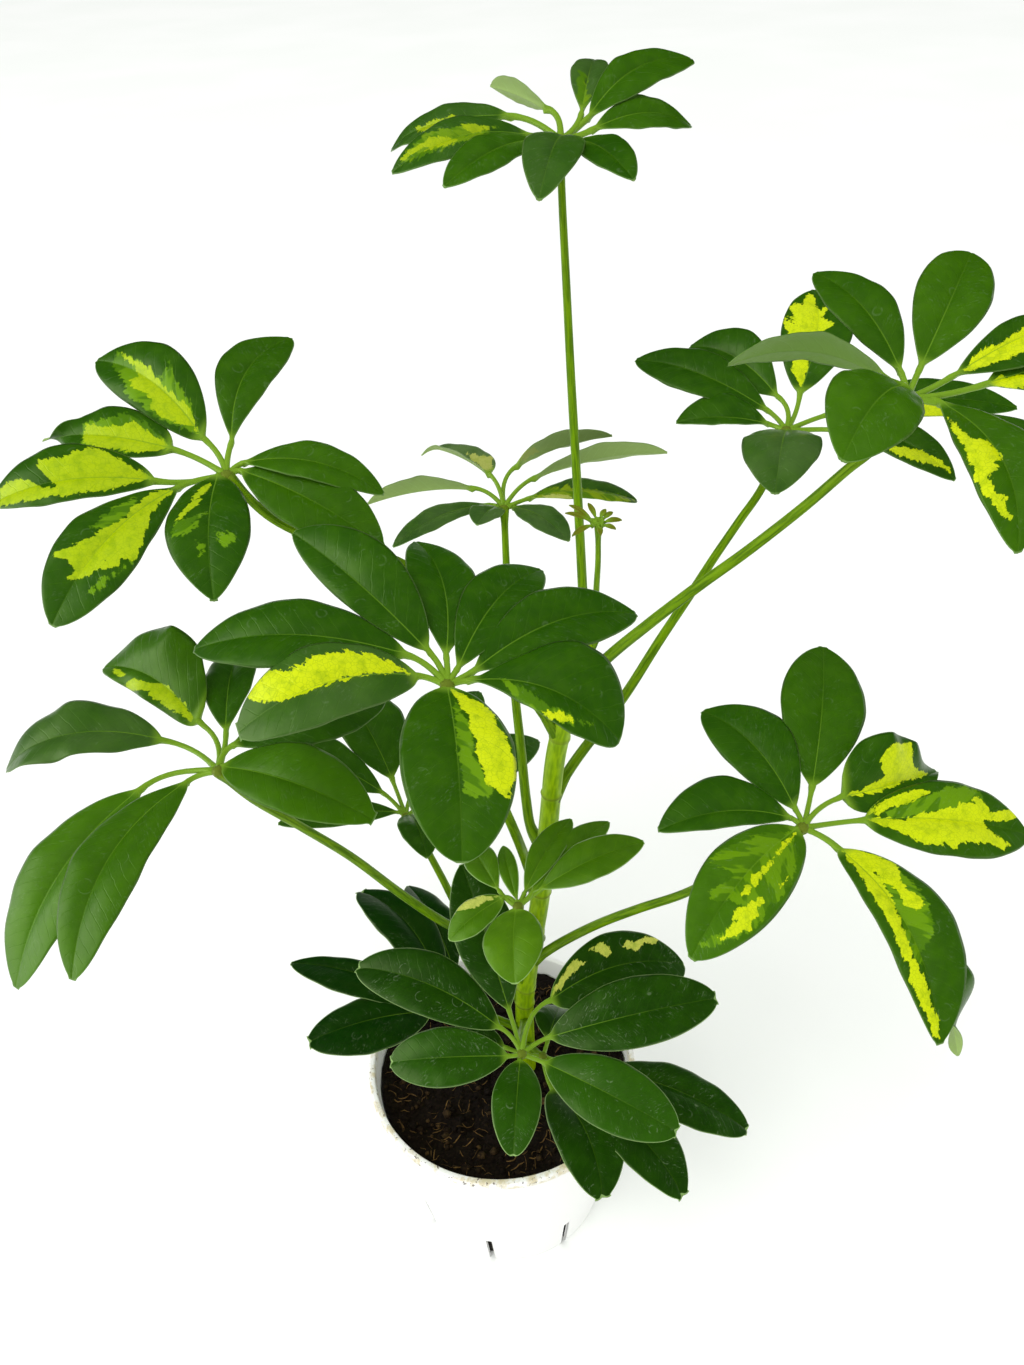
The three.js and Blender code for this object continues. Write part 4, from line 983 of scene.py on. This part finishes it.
def pot_profile():
    """(r, z) pairs up the pot's outside, over its lip and down its inside; and the rows, the same on both
    sides, at which a drainage slot starts in the floor and ends in the wall."""
    wall, height, base = POT["wall"], POT["height"], POT["base"]
    outside = [(r, 0.0) for r in FLOOR_RADII + [base - SLOT["depth"], base - 3, base - 1]]
    outside += [(base - 0.35, 0.3), (pot_radius(1.0), 1.0)]
    slot_end = len(outside) + WALL_HEIGHTS.index(SLOT["height"])
    outside += [(pot_radius(z), z) for z in WALL_HEIGHTS]
    inside = [(r, wall) for r in FLOOR_RADII + [base - SLOT["depth"], base - 3.6, base - 2.4]]
    inside += [(pot_radius(wall) - wall - 0.5, wall + 0.1), (pot_radius(2) - wall, 2.0)]
    inside += [(pot_radius(z) - wall, z) for z in [2.6] + WALL_HEIGHTS[1:]]
    mouth = pot_radius(height) - wall
    lip = [(POT["rim"] - inward, height - down) for inward, down in LIP]
    lip += [(mouth + 0.2, height - 0.12), (mouth, height - 0.6), (pot_radius(height - 2) - wall, height - 2)]
    return np.array(outside + lip + inside[::-1]), len(FLOOR_RADII), slot_end


def make_pot(material):
    """A cup turned from one profile on a grid of angles: outside, lip and inside. The cells of each drainage
    slot are left out, and its edges join the outside to the inside, whose rows mirror each other."""
    profile, slot_start, slot_end = pot_profile()
    last = len(profile) - 1
    pitch = 360 / SLOT["count"]
    half = math.degrees(SLOT["width"] / 2 / (POT["base"] + 1))
    between = np.linspace(half, pitch - half, SLOT["steps_between"] + 1)[1:-1]
    offsets = np.concatenate([[-half, 0, half], between])
    centres = SLOT["first"] + pitch * np.arange(SLOT["count"])
    turn = np.radians(centres[:, None] + offsets).ravel()
    count = len(turn)
    points = turned(profile[:, :1], profile[:, 1:], turn).reshape(-1, 3)

    open_row = np.zeros(last, bool)
    open_row[slot_start:slot_end] = open_row[last - slot_end:last - slot_start] = True
    open_column = np.arange(count) % len(offsets) < 2
    keep = ~(open_row[:, None] & open_column)

    def at(row, column):
        return row * count + column

    edges = []
    for left in range(0, count, len(offsets)):
        right = left + 2
        for row in range(slot_start, slot_end):
            a, b, c, d = row, row + 1, last - row - 1, last - row
            edges.append([at(a, left), at(b, left), at(c, left), at(d, left)])
            edges.append([at(a, right), at(d, right), at(c, right), at(b, right)])
        for p, q in ((left, left + 1), (left + 1, right)):
            a, d = slot_start, last - slot_start
            edges.append([at(a, p), at(d, p), at(d, q), at(a, q)])
            a, d = slot_end, last - slot_end
            edges.append([at(a, p), at(a, q), at(d, q), at(d, p)])
    shell = Shell()
    shell.add(np.concatenate([points, [[0, 0, 0], [0, 0, POT["wall"]]]]),
              np.concatenate([ring_quads(last + 1, count)[keep], edges, end_fans(last + 1, count)]))
    finish_piece(shell.build("nursery_pot", material), "pot_plastic", "pot")


# the length and the height of the soil's rises, four waves of each kind; a crumb's size is drawn from a
# gamma curve of this shape and scale, and a fibre's measures evenly from between two limits
SOIL_WAVES = [(16, 0.5), (8, 0.45), (4.2, 0.4), (2.2, 0.28), (1.2, 0.16)]
CRUMB = dict(size=(3, 0.28), most=2.2, rough=0.25, flat=0.7, raised=0.3,
             rows=[-1.1, -0.4, 0.35, 1.05], sides=6,
             tints=[0, 0.05, 0.15, 0.35], chances=[0.5, 0.25, 0.15, 0.1])
FIBRE = dict(length=(2, 7), curl=0.3, raised=0.35, lifted=0.5, hump=0.5, thick=(0.12, 0.34), thin=0.6,
             tint=(0.25, 1.0), rows=6, sides=4)


def soil_height(x, y):
    """The soil's surface: a low mound in the middle and crumbly rises and hollows, a sum of crossed waves."""
    radius = SOIL["mound_radius"]
    z = SOIL["top"] + SOIL["mound"] * (1 - smoothstep(radius * 0.4, radius * 1.3, np.hypot(x, y)))
    waves = np.random.default_rng(3)
    for length, height in SOIL_WAVES:
        for _ in range(4):
            way = waves.uniform(0, 2 * np.pi)
            phase = (x * np.cos(way) + y * np.sin(way)) * 2 * np.pi / length + waves.uniform(0, 6.3)
            z = z + height / 2 * np.sin(phase)
    return z


def scatter(count, reach):
    """Points spread evenly over a round patch: the radius goes as the root of an even number."""
    r = reach * np.sqrt(rng.uniform(0, 1, count))
    a = rng.uniform(0, 2 * np.pi, count)
    return r * np.cos(a), r * np.sin(a)


def make_soil(material):
    """The soil's body, turned, its top a fine grid at soil_height; crumbs and root fibres lie on it. A crumb
    is a bead, r cos(h) wide and flat r sin(h) high with a rough r, and a fibre is a thin bent strand."""
    def inside(z):
        return pot_radius(z) - POT["wall"] - SOIL["gap"]

    floor, edge = POT["wall"] + SOIL["gap"], inside(SOIL["top"]) - 0.4
    walls = [(0.5, floor), (20, floor), (inside(floor) - 1.2, floor), (inside(2.4) - 0.9, 2.4)]
    walls += [(inside(z) - 0.35, z) for z in (6, 12, 30, 50, 70, 84)]
    angle = circle(SOIL["sides"])
    wall_r, wall_z = np.array(walls).T[..., None]
    top = turned(np.concatenate([np.linspace(edge, 3, 60), [1.5, 0.6]])[:, None], 0, angle)
    top[..., 2] = soil_height(top[..., 0], top[..., 1])
    rings = np.concatenate([turned(wall_r, wall_z, angle), top])
    shell = Shell()
    shell.add_rings(rings, tint=spread(rings.shape[:2], 0))

    h, turn = np.array(CRUMB["rows"])[:, None], circle(CRUMB["sides"])
    shape = (len(h), len(turn))
    for x, y, size in zip(*scatter(SOIL["crumbs"], edge - 1), rng.gamma(*CRUMB["size"], SOIL["crumbs"])):
        size = min(size, CRUMB["most"])
        lump = size * (1 + CRUMB["rough"] * rng.standard_normal(shape))
        bead = turned(lump * np.cos(h), CRUMB["flat"] * lump * np.sin(h), turn)
        bead += [x, y, soil_height(x, y) + size * CRUMB["raised"]]
        shell.add_rings(bead, tint=spread(shape, rng.choice(CRUMB["tints"], p=CRUMB["chances"])))

    s = np.linspace(-0.5, 0.5, FIBRE["rows"])
    for x, y in zip(*scatter(SOIL["fibres"], edge - 3)):
        length, aim = rng.uniform(*FIBRE["length"]), rng.uniform(0, 2 * np.pi)
        heading = aim + rng.normal(0, FIBRE["curl"]) * s * 2
        px, py = x + length * s * np.cos(heading), y + length * s * np.sin(heading)
        inward = np.minimum(1, (edge - 0.5) / np.hypot(px, py))
        px, py = px * inward, py * inward
        lift = FIBRE["raised"] + rng.uniform(0, FIBRE["lifted"]) + FIBRE["hump"] * np.sin(s * 3)
        way = np.stack([px, py, soil_height(px, py) + lift], -1)
        thick = rng.uniform(*FIBRE["thick"]) * (1 - FIBRE["thin"] * (2 * s) ** 2)
        strand = tube_rings(way, thick, FIBRE["sides"])
        shell.add_rings(strand, tint=spread(strand.shape[:2], rng.uniform(*FIBRE["tint"])))
    finish_piece(shell.build("peat_soil", material), "potting_soil", "soil")


# ------------------------------------------------------------------ stem


def make_stem(material):
    """One upright stem, a slightly lobed tube: at each node a raised ring exp(-d^2) with a shallow groove
    just above it. Its foot stands in the soil. Its place counts the length from the nearest node, so that the
    nodes take the joint's colour, and keeps the head, the other joint, too far off to colour anything."""
    above = np.array([sight_upright(p, 0) for p in STEM["path"]])
    foot = np.array([above[0][0], 0, SOIL["top"] - STEM["buried"]])
    way, _ = smooth_way(np.concatenate([[foot], above]), STEM["rows"])
    t = np.linspace(0, 1, len(way))[:, None]
    heights = np.array([sight_upright((STEM["across"], down), 0)[2] for down in STEM["nodes"]])
    off = way[:, 2:] - heights
    swell = (STEM["scar"] * hump(off, STEM["scar_reach"])
             - STEM["groove"] * hump(off - STEM["groove_above"], STEM["groove_reach"])).sum(1)
    radius = STEM["foot"] + (STEM["tip"] - STEM["foot"]) * t + swell[:, None]
    angle = circle(STEM["sides"])
    lobes = 1 + STEM["lobe"] * np.cos(STEM["lobes"] * angle + t * STEM["lobe_turn"])
    rings = tube_rings(way, radius * lobes, STEM["sides"])
    from_node = STEM["node_edge"] + np.abs(off).min(1)[:, None]
    shell = Shell()
    shell.add_rings(rings, place=spread(rings.shape[:2], angle, from_node, way[:, 2:] + STEM["head_off"]))
    finish_piece(shell.build("green_stem_with_nodes", material), "green_stem", "stem")


# ------------------------------------------------------------------ put together

LEAF_SKIN = dict(tree=leaf_group(), bump=0.35, specular=0.4, sheen=(0.85, 1.0, 0.5, 1.0),
                 reads=[("Place", "Vector"), ("Marks", "Vector"), ("Kind", "Vector"), ("Tint", "Fac")])
STALK_SKIN = dict(tree=stalk_group(), bump=0.3, specular=0.3, sheen=(0.85, 1.0, 0.3, 1.0),
                  reads=[("Place", "Vector")])
LEAF_LOOKS = {
    "upper leaf": {},
    "duller leaf": dict(Gold=rgb(164, 188, 0)),
    "top leaf": dict(Gold=rgb(150, 172, 0), Lime=rgb(100, 136, 4)),
    "back leaf": dict(Deep=rgb(34, 72, 14), Gold=rgb(164, 172, 84), Lime=rgb(120, 144, 8)),
    "low leaf": dict(Deep=rgb(20, 58, 0), Fresh=rgb(42, 88, 4), Gold=rgb(196, 200, 84),
                     Rim_strength=0.8, Water_marks=0.8),
    "shaded leaf": dict(Deep=rgb(6, 46, 0), Fresh=rgb(20, 66, 2), Rim_strength=0.7, Water_marks=0.5),
    "fresh leaf": dict(Deep=rgb(64, 108, 0), Fresh=rgb(92, 136, 14), Gold=rgb(196, 204, 96),
                       Rim_strength=0.8, Water_marks=0.1),
    "bud leaf": dict(Deep=rgb(96, 104, 10), Fresh=rgb(124, 130, 20), Underside=rgb(110, 116, 24),
                     Rim_strength=0.0, Water_marks=0.0),
}
LOOK_OF = dict(
    leaf_low_front="low leaf", leaf_low_right="low leaf", leaf_low_left="shaded leaf",
    leaf_small="fresh leaf", leaf_young="bud leaf", leaf_upper_left="duller leaf",
    leaf_left="duller leaf", leaf_top="top leaf", leaf_back="back leaf")
leaf_skins = {name: plant_material(name, **LEAF_SKIN, **values) for name, values in LEAF_LOOKS.items()}
stalk_skin = plant_material("stalk skin", **STALK_SKIN)
stem_skin = plant_material("stem skin", **STALK_SKIN, Skin=rgb(150, 186, 0), Shade=rgb(114, 152, 2))

make_pot(pot_material())
make_soil(soil_material())
make_stem(stem_skin)
for number, (name, leaf) in enumerate(LEAVES.items()):
    hub, normal = sight_upright(leaf["hub"], leaf["behind"]), leaf_normal(leaf)
    blades, stalk = Shell(), Shell()
    for k, piece in enumerate(leaf["leaflets"]):
        rings, data = leaflet_rings(piece, hub, normal, (number * LEAF_NUMBER + k * LEAFLET_NUMBER) % 1)
        blades.add_rings(rings, **data)
    bead = knuckle_rings(hub, normal, leaf.get("knuckle", KNUCKLE["radius"]) * KNUCKLE["bead"])
    for rings, data in (stalk_rings(leaf, hub), bead):
        stalk.add_rings(rings, **data)
    finish_piece(blades.build(name + "_blades", leaf_skins[LOOK_OF.get(name, "upper leaf")]), "leaf", name)
    finish_piece(stalk.build(name + "_stalk", stalk_skin), "green_stem")

# ------------------------------------------------------------------ floor, light and camera

floor_paper, paper, paper_shader = new_material("white paper floor")
cloud = paper.step(paper.noise(paper.object_place(), 3.0), 0.35, 0.7)
paper.fill(paper_shader, {"Base Color": paper.mix(cloud, rgb(244, 247, 243), rgb(247, 249, 246)),
                          "Roughness": 0.9, "Specular IOR Level": 0.1})
FLOOR_REACH = 30
corners = [(x * FLOOR_REACH, y * FLOOR_REACH, 0) for x, y in ((-1, -1), (1, -1), (1, 1), (-1, 1))]
floor_mesh = bpy.data.meshes.new("floor")
floor_mesh.from_pydata(corners, [], [(0, 1, 2, 3)])
floor_mesh.materials.append(floor_paper)
floor = bpy.data.objects.new("floor", floor_mesh)
scene.collection.objects.link(floor)

# the room: white, a little brighter overhead, and not mirrored in the leaves
world = bpy.data.worlds.new("studio")
world.use_nodes = True
scene.world = world
world.cycles_visibility.glossy = False
room = Net(world.node_tree)
_, _, up = room.separate(room.node("TexCoord").outputs["Generated"])
room.fill(world.node_tree.nodes["Background"], {"Color": (1.0, 1.0, 1.0, 1.0),
                                                "Strength": room.step(up, 0.72, 0.97, 0.86, 1.1)})


def placed(thing, right, over, back, at):
    """The object stood at a place in metres, its own axes pointing right, over and back, and linked."""
    matrix = np.eye(4)
    matrix[:3] = np.stack([right, over, back, at], -1)
    thing.matrix_world = Matrix(matrix.tolist())
    scene.collection.objects.link(thing)
    return thing


def soft_light(name, at, aim, size, power, lights=True, mirrored=False):
    """A round softbox that faces a point: it lights what it faces, or is mirrored in the leaves, or both."""
    data = bpy.data.lights.new(name, "AREA")
    data.shape, data.size, data.energy = "DISK", size, power
    back = unit(np.array(at, float) - np.array(aim, float))
    right = unit(np.cross([0, 0, 1.0], back))
    lamp = placed(bpy.data.objects.new(name, data), right, np.cross(back, right), back, at)
    lamp.visible_diffuse, lamp.visible_glossy = lights, mirrored


soft_light("key softbox", (-1.5, -3.2, 6.0), (0, 0, 0.25), size=3.4, power=170)
soft_light("left softbox", (-4.8, -1.5, 0.95), (0, 0, 0.3), size=3.0, power=55)
soft_light("left reflector", (-5.6, -1.6, 2.1), (0, 0, 0.3), size=7.0, power=300, lights=False,
           mirrored=True)

lens = bpy.data.cameras.new("camera")
lens.sensor_width = 36
lens.lens = lens.sensor_width * SIGHT["focal"] / SIGHT["height"]
lens.clip_end = 100
scene.camera = placed(bpy.data.objects.new("camera", lens), ACROSS_AXIS, -DOWN_AXIS, -AHEAD, EYE * MM)
scene.view_settings.view_transform = "Standard"
